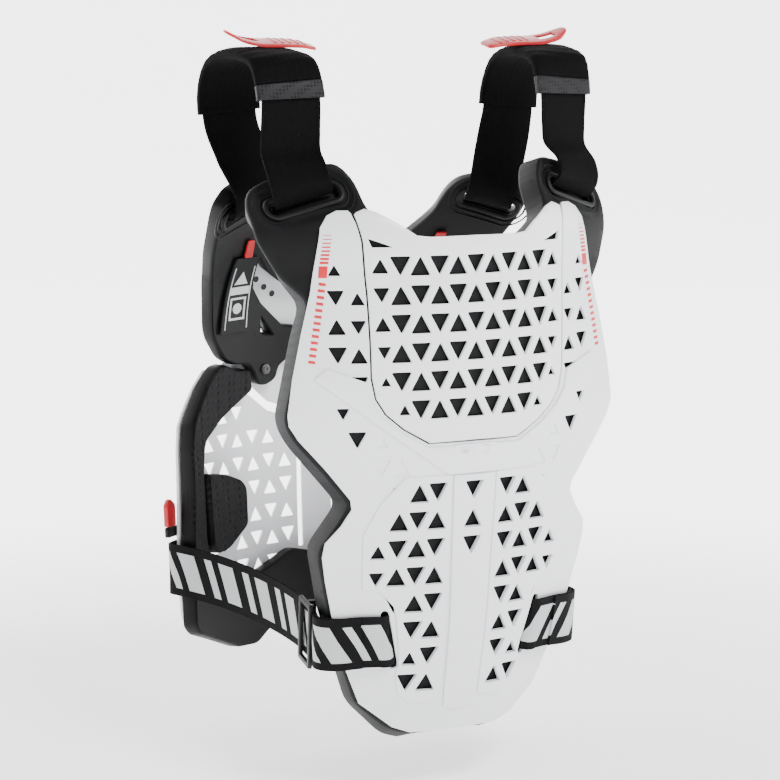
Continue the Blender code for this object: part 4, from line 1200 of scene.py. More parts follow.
    def build(self) -> None:
        """Build both shoulders."""
        length = self.route.length
        cuff_end = self.sleeve[0] - 2 * SEAT_GAP / length
        cuff_start = cuff_end - self.cuff / length
        for side in Side:
            word = side.word
            band = strip(self.place, 0.0, 1.0, length, self.width, self.wall, self.out, 170)
            join_into(band, self.stitches(0.04, cuff_start - 0.004, 0.86, self.wall * 0.5))
            join_into(band, self.stitches(self.sleeve[1] + 0.01, 0.95, 0.70, self.wall * 0.5))
            flip_side(band, side)
            self.shop.add("shoulder_webbing_" + word, band, [WEBBING], ["shoulder_strap_" + word], 50)
            tube = self.tube(*self.sleeve, self.sleeve_wall, 110, 0.0014)
            flip_side(tube, side)
            sleeve = self.shop.add("padded_sleeve_" + word, tube, [SLEEVE],
                                   ["shoulder_sleeve_" + word], 60)
            self.thicken(sleeve, self.sleeve_wall)
            cuff = self.tube(cuff_start, cuff_end, 0.0018, 10, 0.0)
            flip_side(cuff, side)
            ring = self.shop.add("sleeve_cuff_" + word, cuff, [CUFF], ["strap_cuff_" + word], 60)
            self.thicken(ring, 0.0018)
            self.build_lips(side)
            self.build_pull(side)

    @staticmethod
    def thicken(piece: Piece, wall: float) -> None:
        """Give an open tube its wall, inward."""
        solid = piece.modifiers.new("Wall", "SOLIDIFY")
        solid.thickness = wall
        solid.offset = -1.0

    def front_loop(self, grow: float) -> Loop:
        """The chest slot, grown all round."""
        x, z = self.front_slot
        return slot(x, z, self.slot_length + grow, self.slot_height + grow, -self.slant, 10)

    def back_loop(self, grow: float) -> Loop:
        """The back slot, grown all round."""
        x, z = self.back_slot
        return slot(x, z, self.back_slot_length + grow, self.slot_height + grow, -self.slant, 10)

    def build_lips(self, side: Side) -> None:
        """Raised lips around the slots.

        Args:
            side: The wearer's side.
        """
        foam = SHELL_WALL + SKIN_GAP
        rise = self.lip * 0.6
        lips = (
            ("front", FRONT, self.front_loop, foam + self.trough - rise),
            ("back", BACK, self.back_loop, foam + YOKE_FOAM + rise),
        )
        for where, face, loop_of, depth in lips:
            loop = mirrored(loop_of(self.lip * 2.6), side)
            loop = [spot for n, spot in enumerate(loop) if n % 11 != 0]
            ring = tube_ring(loop, face, depth, self.lip)
            name = where + "_slot_ring_" + side.word
            self.shop.add(where + "_slot_lip_" + side.word, ring, [RUBBER], [name], 70)

    def build_pull(self, side: Side) -> None:
        """The red rubber tab across the top of a sleeve.

        Args:
            side: The wearer's side.
        """
        width, wall, sag = self.pull
        crest, ahead, _, _ = self.frame(0.5 * (self.sleeve[0] + self.sleeve[1]) - 0.03)
        slope = ahead.z / ahead.y
        rows = np.array(self.PULL_ROUTE)
        length = (rows[-1, 1] - rows[0, 1]) * self.spread
        edge = [(x * length, z * width) for x, z in self.PULL_EDGE]
        window = [(x * length, z * width) for x, z in self.PULL_WINDOW]
        loops = [rounded(edge, 0.003, 3), rounded(window, 0.0015, 3)]
        tab = slab(loops, wall, 0.0007, 0.003)
        ribs = bmesh.new()
        for n in range(5):
            middle = length * (0.12 + 0.075 * n)
            bar = [(middle - 0.0009, -width * 0.34), (middle + 0.0009, -width * 0.34),
                   (middle + 0.0009, width * 0.34), (middle - 0.0009, width * 0.34)]
            rib = slab([bar], 0.0009, 0.0003, 0.003)
            shift_depth(rib, -0.0005)
            join_into(ribs, rib)
        join_into(tab, ribs)
        top = self.wall / 2 + self.play + self.sleeve_wall + SEAT_GAP + wall / 2 + 0.0006
        for vert in tab.verts:
            along, wide, lift = vert.co.x / length, vert.co.z / width, wall / 2 - vert.co.y
            x = self.spread * cubic(rows[:, 0], rows[:, 1], along)
            bow = self.spread * cubic(rows[:, 0], rows[:, 2], along)
            z = crest.z + top + bow - sag * (2 * wide) ** 2 + slope * wide * width
            z += 0.20 * (wide + 0.5) * width + lift
            vert.co = Vector((x, crest.y + wide * width, z))
        bmesh.ops.recalc_face_normals(tab, faces=tab.faces[:])
        flip_side(tab, side)
        self.shop.add("pull_tab_" + side.word, tab, [RED], ["shoulder_pull_tab_" + side.word])


# Chest

@dataclass
class Chest:
    """White chest shell and inset plate, with the foam behind them."""

    shop: Workshop
    shoulders: Shoulders
    edge: float = 0.0007
    cell: float = 0.0060
    vent_side: float = 0.0137
    small_side: float = 0.0104
    pitch_x: float = 0.0143
    pitch_z: float = 0.0208
    plate_base: float = 0.2415
    lower_base: float = 0.0345
    waist_slot: tuple[float, float, float, float] = (0.0585, 0.0750, 0.047, 0.0055)
    slot_lean: float = math.radians(14)

    SHELL_EDGE = (
        (0.638, 0.992), (0.653, 0.999), (0.708, 0.999), (0.760, 0.990), (0.801, 0.969),
        (0.823, 0.931), (0.865, 0.849), (0.919, 0.775), (0.970, 0.693), (0.998, 0.626),
        (0.993, 0.607), (0.948, 0.580), (0.812, 0.524), (0.683, 0.466), (0.675, 0.448),
        (0.727, 0.416), (0.801, 0.384), (0.810, 0.356), (0.786, 0.310), (0.738, 0.243),
        (0.638, 0.134), (0.550, 0.063), (0.369, 0.013), (0.266, 0.000), (0.000, 0.000),
    )
    SEAM = (
        (0.000, 0.567), (0.273, 0.567), (0.417, 0.596), (0.513, 0.625), (0.565, 0.654),
        (0.587, 0.693), (0.590, 0.757), (0.600, 0.847), (0.616, 0.944), (0.638, 0.992),
    )
    PLATE_TOP = (
        (0.616, 0.996), (0.572, 1.002), (0.517, 0.996), (0.402, 0.971), (0.332, 0.953),
        (0.258, 0.950), (0.000, 0.951),
    )
    PAD_EDGE = (
        (0.000, 0.937, 0.000, 0.928), (0.317, 0.937, 0.317, 0.928), (0.443, 0.967, 0.428, 0.962),
        (0.548, 1.003, 0.534, 1.008), (0.572, 1.058, 0.557, 1.063), (0.640, 1.088, 0.625, 1.094),
        (0.800, 1.078, 0.800, 1.086), (1.000, 1.054, 1.015, 1.061), (1.082, 1.036, 1.104, 1.041),
        (1.115, 1.006, 1.138, 1.008), (1.096, 0.941, 1.114, 0.941), (1.011, 0.880, 1.030, 0.875),
        (0.878, 0.834, 0.945, 0.829), (0.919, 0.775, 0.993, 0.770), (0.967, 0.693, 1.037, 0.693),
        (1.011, 0.625, 1.077, 0.621), (1.007, 0.602, 1.059, 0.590), (0.959, 0.572, 1.004, 0.556),
        (0.819, 0.515, 0.860, 0.494), (0.690, 0.458, 0.768, 0.455), (0.694, 0.446, 0.768, 0.437),
        (0.753, 0.407, 0.823, 0.405), (0.819, 0.374, 0.882, 0.370), (0.827, 0.351, 0.889, 0.349),
        (0.753, 0.241, 0.827, 0.241), (0.653, 0.134, 0.723, 0.130), (0.565, 0.057, 0.627, 0.042),
        (0.384, 0.006, 0.413, -0.027), (0.266, -0.006, 0.295, -0.038), (0.133, -0.005, 0.133, -0.019),
        (0.000, -0.005, 0.000, -0.011),
    )
    # Raised parts of the shell, in metres across and up from the foot of the shell
    COLLAR = (
        (0.000, 0.1990), (0.0215, 0.1990), (0.070, 0.2340), (0.117, 0.2715), (0.109, 0.2790),
        (0.0830, 0.2690), (0.0800, 0.2545), (0.0715, 0.2430), (0.0575, 0.2315), (0.0375, 0.2200),
        (0.000, 0.2200),
    )
    SPINE = ((0.000, 0.1980), (0.0170, 0.1980), (0.0130, 0.0200), (0.000, 0.0165))
    FIELD = (
        (0.0185, 0.1985), (0.0540, 0.1985), (0.0720, 0.1790), (0.0830, 0.1560), (0.0810, 0.1150),
        (0.0680, 0.1125), (0.0575, 0.1010), (0.0550, 0.0900), (0.0528, 0.0760), (0.0502, 0.0560),
        (0.0516, 0.0482), (0.0490, 0.0330), (0.0400, 0.0250), (0.0260, 0.0240), (0.0155, 0.0270),
    )

    def cell_vent(self, base: float, row: int, column: int, side: float, shift: float = 0.0) -> Loop:
        """The vent at a row and a column of the grid."""
        x = column * self.pitch_x + shift
        z = base - FRONT.drop + row * self.pitch_z
        return vent(x, z, side, (row + column) % 2 == 0)

    def plate_vents(self) -> list[Loop]:
        """Every vent of the inset plate, smaller towards its sides."""
        holes = []
        for row, (full, side, shift) in enumerate((
            (3, 0.0075, -0.0022), (4, 0.0064, -0.0030), (4, 0.0088, -0.0020),
            (4, 0.0104, -0.0012), (4, 0.0104, -0.0008), (4, 0.0104, -0.0004),
        )):
            for column in range(-full, full + 1):
                holes.append(self.cell_vent(self.plate_base, row, column, self.vent_side))
            last = full + 1
            lift = (self.vent_side - side) * 0.5
            loop = self.cell_vent(self.plate_base, row, last, side, shift)
            holes += both([[(x, z + lift) for x, z in loop]])
        corner = [(0.0620, 0.3650), (0.0765, 0.3650), (0.0790, 0.3715)]
        holes += both([rounded([(x, z - FRONT.drop) for x, z in corner], 0.0006)])
        return holes

    def lower_vents(self) -> list[Loop]:
        """Every vent beside and above the spine strip, on the wearer's left."""
        holes = []
        for row, last in enumerate((3, 3, 3, 4, 5, 5, 4, 3)):
            for column in range(2, last + 1):
                small = (row, column) in ((1, 3), (4, 5), (5, 5))
                side = self.small_side if small else self.vent_side
                holes.append(self.cell_vent(self.lower_base, row, column, side))
        return holes

    def centre_vents(self) -> list[Loop]:
        """The three vents above the middle of the spine strip."""
        return [self.cell_vent(self.lower_base, row, 0, self.vent_side) for row in (5, 6, 7)]

    def arm_vents(self) -> list[Loop]:
        """Small vents in the arms of the shell beside the inset plate."""
        cells = ((5, 7, 0.0075), (4, 7, 0.0104), (4, 6, 0.0088), (3, 7, 0.0110), (3, 6, 0.0096),
                 (2, 7, 0.0118), (2, 6, 0.0110), (1, 6, 0.0110))
        holes = [self.cell_vent(self.plate_base, row, column, side, 0.0012)
                 for row, column, side in cells]
        holes.append(self.cell_vent(self.lower_base, 9, 6, 0.0118, 0.0030))
        holes.append(self.cell_vent(self.lower_base, 10, 7, 0.0080, -0.0015))
        return holes

    def blind_vents(self) -> list[Loop]:
        """Triangles that are only pressed into the shell."""
        cells = ((7, 4, 0.0115), (8, 4, 0.0115), (8, 5, 0.0115), (9, 5, 0.0075))
        return [self.cell_vent(self.lower_base, *cell) for cell in cells]

    def waist_loop(self) -> Loop:
        """The slanted slot that takes a waist strap."""
        x, up, length, width = self.waist_slot
        return slot(x, up - FRONT.drop, length, width, math.pi / 2 - self.slot_lean)

    def lifted(self, loops: list[Loop], rise: float) -> bmesh.types.BMesh:
        """A raised part of the shell, sunk a little into it."""
        sheet = slab(loops, rise + 0.0003, min(self.edge, rise * 0.8), self.cell)
        shift_depth(sheet, -rise)
        return sheet

    def from_foot(self, table: Sequence[Spot]) -> Loop:
        """Turn places over the foot of the shell into x and z."""
        return [(x, z - FRONT.drop) for x, z in table]

    def build_shell(self) -> None:
        """The shell, with its collar, spine strip and vent fields."""
        seam = FRONT.placed(self.SEAM)
        rim = FRONT.placed(self.SHELL_EDGE)
        outline = whole(seam + rim)
        lower, centre, blind = self.lower_vents(), self.centre_vents(), self.blind_vents()
        holes = both(lower + self.arm_vents() + blind + [self.waist_loop()]) + centre
        sheet = slab([outline] + holes, SHELL_WALL, self.edge, self.cell)
        floors = both([grown(loop, 0.0006) for loop in blind])
        for loop in floors:
            floor = slab([loop], 0.0011, 0.0001, self.cell)
            shift_depth(floor, 0.0009)
            join_into(sheet, floor)
        spine = whole(self.from_foot(self.SPINE))
        join_into(sheet, self.lifted([spine] + centre, 0.0019))
        join_into(sheet, self.lifted([whole(self.from_foot(self.COLLAR))], 0.0017))
        area = self.from_foot(self.FIELD)
        field_holes = [
            loop for loop in lower
            if all(inside(grown(area, -0.0003), x, z) for x, z in loop)
        ]
        for side in Side:
            loops = [mirrored(rounded(area, 0.0015, 3), side)]
            loops += [mirrored(loop, side) for loop in field_holes]
            join_into(sheet, self.lifted(loops, 0.0012))
        drape(sheet, FRONT)
        self.shop.add("front_shell", sheet, [WHITE], ["chest_shell"], 35)

    def build_plate(self) -> None:
        """The inset plate."""
        seam = FRONT.placed(self.SEAM)
        reach = seam[-1][0]
        inset = [(max(x - SEAM_GAP, 0.0), z + SEAM_GAP * (1 - x / reach)) for x, z in seam]
        outline = whole(inset + FRONT.placed(self.PLATE_TOP))
        sheet = slab([outline] + self.plate_vents(), SHELL_WALL, self.edge, self.cell)
        drape(sheet, FRONT)
        self.shop.add("inset_plate", sheet, [PLATE], ["chest_plate"], 35)

    def build_tag(self) -> None:
        """The bare plate below the inset plate."""
        low = 0.2050 - FRONT.drop
        wide, high = 0.0165, 0.0155
        loop = [(wide * 0.86, low), (wide, low + high), (-wide, low + high), (-wide * 0.86, low)]
        sheet = slab([rounded(loop, 0.0012, 3)], 0.0014, 0.0004, self.cell)
        shift_depth(sheet, -0.0014 - SEAT_GAP)
        drape(sheet, FRONT)
        self.shop.add("bare_tag", sheet, [PLATE], ["chest_tag"])

    def build_marks(self) -> None:
        """Red ticks printed on the arms of the shell."""
        for side in Side:
            sheet = bmesh.new()
            for n in range(8):
                z = 0.3735 - n * 0.0029 - FRONT.drop
                tall = 0.0004 + 0.00022 * n
                x = 0.1017 + n * 0.00042
                bar = [(x, z), (x + 0.0056, z), (x + 0.0056, z + tall), (x, z + tall)]
                join_into(sheet, slab([mirrored(bar, side)], 0.0002, 0.00005, self.cell))
            top = 0.3735 - 8 * 0.0029 - FRONT.drop
            block = [(0.1058, top - 0.0070), (0.1115, top - 0.0070), (0.1108, top + 0.0015),
                     (0.1052, top + 0.0015)]
            join_into(sheet, slab([mirrored(block, side)], 0.0002, 0.00005, self.cell))
            for n in range(13):
                z = top - 0.0100 - n * 0.0046
                x = 0.1068 + n * 0.00078
                dash = [(x, z - 0.0028), (x + 0.0046, z - 0.0022), (x + 0.0046, z), (x, z - 0.0006)]
                join_into(sheet, slab([mirrored(dash, side)], 0.0002, 0.00005, self.cell))
            shift_depth(sheet, -0.00012)
            drape(sheet, FRONT)
            self.shop.add("arm_marks_" + side.word, sheet, [INK_RED])

    def build_pad(self) -> None:
        """The foam with its yokes, slot troughs and dotted sides."""
        rows = [(FRONT.place(a, b), FRONT.place(c, d)) for a, b, c, d in self.PAD_EDGE]
        front_edge = whole([row[0] for row in rows])
        back_edge = whole([row[1] for row in rows])
        soft_edge = rounded(front_edge, 0.0065, 3)
        moves = [
            (Vector((a[0], 0.0, a[1])), Vector((b[0] - a[0], 0.0, b[1] - a[1])))
            for a, b in zip(front_edge, back_edge)
        ]
        slots = both([self.shoulders.front_loop(0.0)])
        middles = [Vector((self.shoulders.front_slot[0] * side.value, 0.0,
                           self.shoulders.front_slot[1])) for side in Side]

        def flare(spot: Vector) -> Vector:
            """How far a rim point moves to the wider back edge.

            Args:
                spot: The rim point.

            Returns:
                The way that it moves.
            """
            flat = Vector((spot.x, 0.0, spot.z))
            if min((flat - middle).length for middle in middles) < 0.030:
                return Vector()
            best, move = 1.0, Vector()
            for (a, shift_a), (b, shift_b) in zip(moves, moves[1:] + moves[:1]):
                run = b - a
                t = min(max((flat - a).dot(run) / max(run.length_squared, 1e-12), 0.0), 1.0)
                away = (a + run * t - flat).length
                if away < best:
                    best, move = away, shift_a.lerp(shift_b, t)
            return move

        windows = [(0.003, (x0, -0.125, x1, -0.070)) for x0, x1 in ((-0.15, -0.07), (0.07, 0.15))]
        sheet = slab([soft_edge] + slots, CHEST_FOAM, 0.0022, 0.0080, windows, flare, 0.0030, 4)
        self.sink(sheet, slots, self.shoulders.trough)
        for side in Side:
            plug = slab([mirrored(self.shoulders.front_loop(-0.0008), side)], 0.0040, 0.0004, 0.0080)
            shift_depth(plug, self.shoulders.trough + 0.0050)
            join_into(sheet, plug)
        for face in sheet.faces:
            middle = face.calc_center_median()
            flat = abs(face.normal.y) < 0.75
            side_band = flat and 0.0015 < middle.y < CHEST_FOAM - 0.001
            if side_band and -0.330 < middle.z < -0.150 and abs(middle.x) > 0.11:
                face.material_index = 1
        shift_depth(sheet, SHELL_WALL + SKIN_GAP)
        drape(sheet, FRONT)
        for side in Side:
            for grow, radius in ((0.0125, 0.0007), (0.0200, 0.0006)):
                loop = mirrored(self.shoulders.front_loop(grow), side)
                loop = [spot for n, spot in enumerate(loop) if n % 11 != 0]
                deep = SHELL_WALL + SKIN_GAP + self.shoulders.trough * (0.55 if grow > 0.015 else 0.95)
                join_into(sheet, tube_ring(loop, FRONT, deep - radius * 0.3, radius, 8))
        piece = self.shop.add("chest_foam", sheet, [FOAM, FOAM_SIDE], ["chest_pad"], 45)

    @staticmethod
    def sink(sheet: bmesh.types.BMesh, slots: list[Loop], deep: float) -> None:
        """Press a soft trough into the front of the foam around its slots.

        Args:
            sheet: The foam.
            slots: The outlines of its slots.
            deep: The trough's depth.
        """
        ends = []
        for loop in slots:
            spots = np.array(loop)
            middle = spots.mean(axis=0)
            far = spots[np.argmax(np.linalg.norm(spots - middle, axis=1))]
            reach = (far - middle) * 0.84
            ends.append((middle - reach, middle + reach))
        for vert in sheet.verts:
            if vert.co.y > 0.004:
                continue
            spot = np.array((vert.co.x, vert.co.z))
            for start, end in ends:
                run = end - start
                t = min(max(float((spot - start) @ run) / float(run @ run), 0.0), 1.0)
                away = float(np.linalg.norm(spot - start - run * t))
                share = min(max((0.0165 - away) / 0.0075, 0.0), 1.0)
                vert.co.y += deep * share * share * (3 - 2 * share)

    def build(self) -> None:
        """Build the chest side."""
        self.build_shell()
        self.build_plate()
        self.build_tag()
        self.build_marks()
        self.build_pad()


# Back

@dataclass
class Back:
    """White back shells, the foam yoke, rim and lumbar pads, flaps and screws."""

    shop: Workshop
    shoulders: Shoulders
    edge: float = 0.0007
    cell: float = 0.0065
    vent_side: float = 0.0117
    pitch_x: float = 0.0154
    pitch_z: float = 0.0204
    vent_x: float = 0.0277
    vent_base: float = 0.0355
    screw: tuple[float, float] = (0.0545, 0.2200)
    screw_hole: float = 0.0026
    flap: tuple[float, float, float, float, float] = (0.0915, 0.2530, 0.027, 0.070, 0.0015)

    YOKE = (
        (0.000, 0.792), (0.300, 0.818), (0.417, 0.858), (0.510, 0.900), (0.555, 0.925),
        (0.570, 0.950), (0.597, 0.975), (0.640, 0.990), (0.780, 1.000), (0.905, 0.984),
        (0.965, 0.954), (0.960, 0.925), (0.910, 0.861), (0.850, 0.804), (0.806, 0.733),
        (0.790, 0.677), (0.769, 0.654), (0.687, 0.610), (0.600, 0.593), (0.493, 0.592),
        (0.455, 0.572), (0.427, 0.545), (0.363, 0.540), (0.290, 0.553), (0.272, 0.580),
        (0.150, 0.605), (0.000, 0.610),
    )
    YOKE_WINDOW = (
        (0.000, 0.745), (0.250, 0.762), (0.400, 0.800), (0.480, 0.835), (0.500, 0.826),
        (0.480, 0.765), (0.407, 0.724), (0.247, 0.669), (0.000, 0.655),
    )
    YOKE_GAP = ((0.405, 0.690), (0.400, 0.655), (0.320, 0.650))
    UPPER = (
        (0.000, 0.775), (0.333, 0.815), (0.567, 0.865), (0.693, 0.868), (0.723, 0.722),
        (0.687, 0.638), (0.600, 0.612), (0.447, 0.609), (0.437, 0.545), (0.411, 0.539),
        (0.289, 0.500), (0.000, 0.464),
    )
    LOWER = (
        (0.000, 0.443), (0.297, 0.481), (0.440, 0.524), (0.453, 0.600), (0.545, 0.603),
        (0.667, 0.584), (0.752, 0.586), (0.832, 0.553), (0.915, 0.505), (0.952, 0.478),
        (0.968, 0.425), (0.975, 0.345), (1.000, 0.180), (0.993, 0.095), (0.960, 0.068),
        (0.840, 0.040), (0.667, 0.014), (0.510, 0.016), (0.420, 0.045), (0.200, 0.060),
        (0.000, 0.060),
    )
    SLIT = ((0.082, 0.395), (0.113, 0.395), (0.128, 0.185), (0.097, 0.185))
    RIM = (
        (0.490, 0.580), (0.597, 0.583), (0.677, 0.598), (0.745, 0.594), (0.828, 0.562),
        (0.911, 0.508), (0.948, 0.482), (0.966, 0.430), (0.973, 0.341), (1.000, 0.185),
        (1.015, 0.075), (0.975, 0.055), (0.847, 0.034), (0.663, 0.003), (0.525, 0.001),
        (0.430, 0.025), (0.333, 0.050), (0.180, 0.062), (0.000, 0.062),
    )
    RIM_WINDOW = (
        (0.000, 0.168), (0.187, 0.184), (0.231, 0.186), (0.353, 0.165), (0.485, 0.146),
        (0.660, 0.150), (0.830, 0.165), (0.876, 0.240), (0.876, 0.380), (0.865, 0.412),
        (0.851, 0.442), (0.787, 0.460), (0.719, 0.482), (0.595, 0.509), (0.477, 0.535),
    )
    LUMBAR = (
        (0.858, 0.376), (0.700, 0.366), (0.597, 0.351), (0.557, 0.332), (0.557, 0.260),
        (0.570, 0.249), (0.706, 0.213), (0.775, 0.204), (0.846, 0.225),
    )
    # Raised spine of the lower back shell, as shares of the back's sizes
    RIDGE = ((0.000, 0.415), (0.060, 0.412), (0.072, 0.180), (0.050, 0.100), (0.000, 0.095))

    def screw_loop(self, radius: float) -> Loop:
        """The hole around a pivot screw."""
        return circle(self.screw[0], self.screw[1] - BACK.drop, radius)

    def vents(self) -> list[Loop]:
        """The rows of triangles in the lower back shell, on the wearer's left."""
        holes = []
        blocked = grown(BACK.placed(self.SLIT), 0.003)
        rim = BACK.placed(self.LOWER)
        outline = grown(whole(rim), -0.0070)
        for row in range(0, 11):
            for column in range(0, 7):
                x = self.vent_x + column * self.pitch_x
                z = self.vent_base - BACK.drop + row * self.pitch_z
                loop = vent(x, z, self.vent_side, (row + column) % 2 == 1)
                if all(inside(outline, *spot) and not inside(blocked, *spot) for spot in loop):
                    holes.append(loop)
        return holes

    def build_shells(self) -> None:
        """The upper and lower shells."""
        ports = [circle(BACK.half_width * x, BACK.height * z - BACK.drop, 0.0026)
                 for x, z in ((0.396, 0.768), (0.335, 0.749), (0.275, 0.733))]
        gap = rounded(BACK.placed(self.YOKE_GAP), 0.001)
        upper = whole(BACK.placed(self.UPPER))
        holes = both([gap, self.screw_loop(self.screw_hole)])
        sheet = slab([upper] + holes, SHELL_WALL, self.edge, self.cell)
        for loop in both(ports):
            plug = slab([loop], SHELL_WALL + 0.0008, 0.0003, self.cell)
            shift_depth(plug, -0.0004)
            join_into(sheet, plug, 1)
        drape(sheet, BACK)
        self.shop.add("upper_back_shell", sheet, [WHITE, PLASTIC], ["back_shell_upper"], 35)
        lower = whole(BACK.placed(self.LOWER))
        slit = rounded(BACK.placed(self.SLIT), 0.001)
        sheet = slab([lower] + both(self.vents() + [slit]), SHELL_WALL, self.edge, self.cell)
        ridge = slab([whole(BACK.placed(self.RIDGE))], 0.0021, 0.0009, self.cell)
        shift_depth(ridge, -0.0018)
        join_into(sheet, ridge)
        drape(sheet, BACK)
        self.shop.add("lower_back_shell", sheet, [WHITE], ["back_shell_lower"], 35)

    def build_yoke(self) -> None:
        """The foam yoke, with rings pressed in around its slots."""
        window = whole(BACK.placed(self.YOKE_WINDOW))
        gap = rounded(BACK.placed(self.YOKE_GAP), 0.001)
        holes = both([gap, self.screw_loop(self.screw_hole), self.shoulders.back_loop(0.0)])
        outline = rounded(whole(BACK.placed(self.YOKE)), 0.0045, 3)
        sheet = slab([outline, window] + holes, YOKE_FOAM, 0.0015, 0.0075, back_edge=0.0030, steps=4)
        shift_depth(sheet, SHELL_WALL + SKIN_GAP)
        drape(sheet, BACK)
        foam = SHELL_WALL + SKIN_GAP + YOKE_FOAM
        for side in Side:
            for grow, radius in ((0.0130, 0.0007), (0.0200, 0.0006)):
                loop = mirrored(self.shoulders.back_loop(grow), side)
                loop = [spot for n, spot in enumerate(loop) if n % 11 != 0]
                join_into(sheet, tube_ring(loop, BACK, foam + radius * 0.3, radius, 8))
        piece = self.shop.add("yoke_foam", sheet, [RUBBER], ["back_yoke"], 45)

    def build_rim(self) -> None:
        """The foam rim of the lower shell and the two lumbar pads."""
        window = BACK.placed(self.RIM_WINDOW)
        outline = BACK.placed(self.RIM)
        half = window + outline
        loop = [spot for spot in half if spot[0] > 0.0001]
        loop = [window[0]] + loop + [outline[-1]] + [(-x, z) for x, z in reversed(loop)]
        sheet = slab([rounded(loop, 0.0030, 2)], 0.0130, 0.0012, 0.0075, back_edge=0.0032, steps=4)
        for face in sheet.faces:
            middle = face.calc_center_median()
            if face.normal.y > 0.5 and abs(middle.x) > 0.055 and middle.z > -0.400:
                face.material_index = 1
        shift_depth(sheet, SHELL_WALL + SKIN_GAP)
        drape(sheet, BACK)
        piece = self.shop.add("back_rim_foam", sheet, [FOAM, FOAM_PAD], ["back_pad"], 45)
        for side in Side:
            loop = mirrored(BACK.placed(self.LUMBAR), side)
            sheet = slab([rounded(loop, 0.004, 3)], 0.0150, 0.0012, 0.0060, back_edge=0.0050, steps=4)
            shift_depth(sheet, SHELL_WALL + SKIN_GAP)
            drape(sheet, BACK)
            name = "lumbar_pad_" + side.word
            piece = self.shop.add("lumbar_foam_" + side.word, sheet, [FOAM_PAD], [name], 45)

    def build_flaps(self) -> None:
        """The flaps on the yoke, with a plain print and a red tab."""
        x, up, width, height, wall = self.flap
        depth = SHELL_WALL + SKIN_GAP + YOKE_FOAM + SKIN_GAP + SEAT_GAP
        low = up - BACK.drop
        lean = width * 0.10
        half = width / 2
        for side in Side:
            loop = [(x - half - lean, low), (x + half + lean, low),
                    (x + half - lean, low + height), (x - half - lean, low + height)]
            sheet = slab([mirrored(rounded(loop, 0.002, 3), side)], wall, 0.0002, 0.0060,
                         back_edge=0.0005)
            shift_depth(sheet, depth)
            drape(sheet, BACK)
            name = "brace_flap_" + side.word
            self.shop.add("yoke_flap_" + side.word, sheet, [RUBBER], [name])
            self.build_print(side, depth + wall, x - lean * 0.5, low)
            foot = low + height + SEAT_GAP
            inner = x - lean - 0.0045
            tab = [(inner, foot), (inner + 0.009, foot), (inner + 0.01035, foot + 0.014),
                   (inner + 0.00315, foot + 0.014)]
            sheet = slab([mirrored(rounded(tab, 0.0012, 3), side)], 0.0020, 0.0004, 0.0060,
                         back_edge=0.0005)
            shift_depth(sheet, depth)
            drape(sheet, BACK)
            name = "brace_tab_" + side.word
            self.shop.add("yoke_tab_" + side.word, sheet, [RED], [name])

    def build_print(self, side: Side, depth: float, x: float, low: float) -> None:
        """Pale lines, a triangle and a frame printed on a flap.

        Args:
            side: The wearer's side.
            depth: How far under the face.
            x: The flap's middle across.
            low: The flap's foot.
        """
        shapes: list[list[Loop]] = [
            [[(x - 0.0120, low + 0.004), (x - 0.0110, low + 0.004),
              (x - 0.0118, low + 0.062), (x - 0.0128, low + 0.062)]],
            [[(x + 0.0128, low + 0.004), (x + 0.0138, low + 0.004),
              (x + 0.0102, low + 0.062), (x + 0.0092, low + 0.062)]],
            [[(x - 0.0080, low + 0.046), (x + 0.0075, low + 0.046), (x - 0.0003, low + 0.058)]],
            [[(x - 0.0110, low + 0.036), (x + 0.0108, low + 0.036),
              (x + 0.0106, low + 0.0435), (x - 0.0112, low + 0.0435)]],
            [[(x - 0.0085, low + 0.012), (x + 0.0095, low + 0.012),
              (x + 0.0090, low + 0.033), (x - 0.0088, low + 0.033)],
             [(x - 0.0066, low + 0.014), (x + 0.0075, low + 0.014),
              (x + 0.0071, low + 0.031), (x - 0.0069, low + 0.031)]],
            [circle(x + 0.0004, low + 0.0225, 0.0050)],
        ]
        sheet = bmesh.new()
        for loops in shapes:
            flat = slab([mirrored(loop, side) for loop in loops], 0.0002, 0.00005, 0.0060)
            join_into(sheet, flat)
        shift_depth(sheet, depth - 0.0001)
        drape(sheet, BACK)
        self.shop.add("flap_print_" + side.word, sheet, [INK_PALE])

    def build_screws(self) -> None:
        """The pivot screws, each with a round head and a driver recess."""
        grip = YOKE_FOAM + SKIN_GAP + SHELL_WALL
        z = self.screw[1] - BACK.drop
        for side in Side:
            x = self.screw[0] * side.value
            seat = BACK.point(x, z, grip + SEAT_GAP * 2)
            inward = (seat - BACK.point(x, z, 0.0)).normalized()
            sheet = bmesh.new()
            profile = ((0.0, 0.0007), (0.0012, 0.0007), (0.0015, 0.0016), (0.0034, 0.0015),
                       (0.0041, 0.0010), (0.0042, 0.0002), (0.0040, 0.0), (0.0018, 0.0),
                       (0.0018, -grip), (0.0, -grip))
            verts = [sheet.verts.new((radius, 0.0, height)) for radius, height in profile]
            edges = [sheet.edges.new(pair) for pair in zip(verts, verts[1:])]
            bmesh.ops.spin(sheet, geom=verts + edges, axis=(0, 0, 1), cent=(0, 0, 0),
                           angle=2 * math.pi, steps=24, use_merge=True)
            bmesh.ops.remove_doubles(sheet, verts=sheet.verts[:], dist=0.00001)
            bmesh.ops.recalc_face_normals(sheet, faces=sheet.faces[:])
            turn = inward.to_track_quat("Z", "Y").to_matrix().to_4x4()
            bmesh.ops.transform(sheet, matrix=Matrix.Translation(seat) @ turn, verts=sheet.verts[:])
            self.shop.add("round_screw_" + side.word, sheet, [STEEL], ["pivot_screw_" + side.word])

    def build(self) -> None:
        """Build the back side."""
        self.build_shells()
        self.build_yoke()
        self.build_rim()
        self.build_flaps()
        self.build_screws()


# Waist

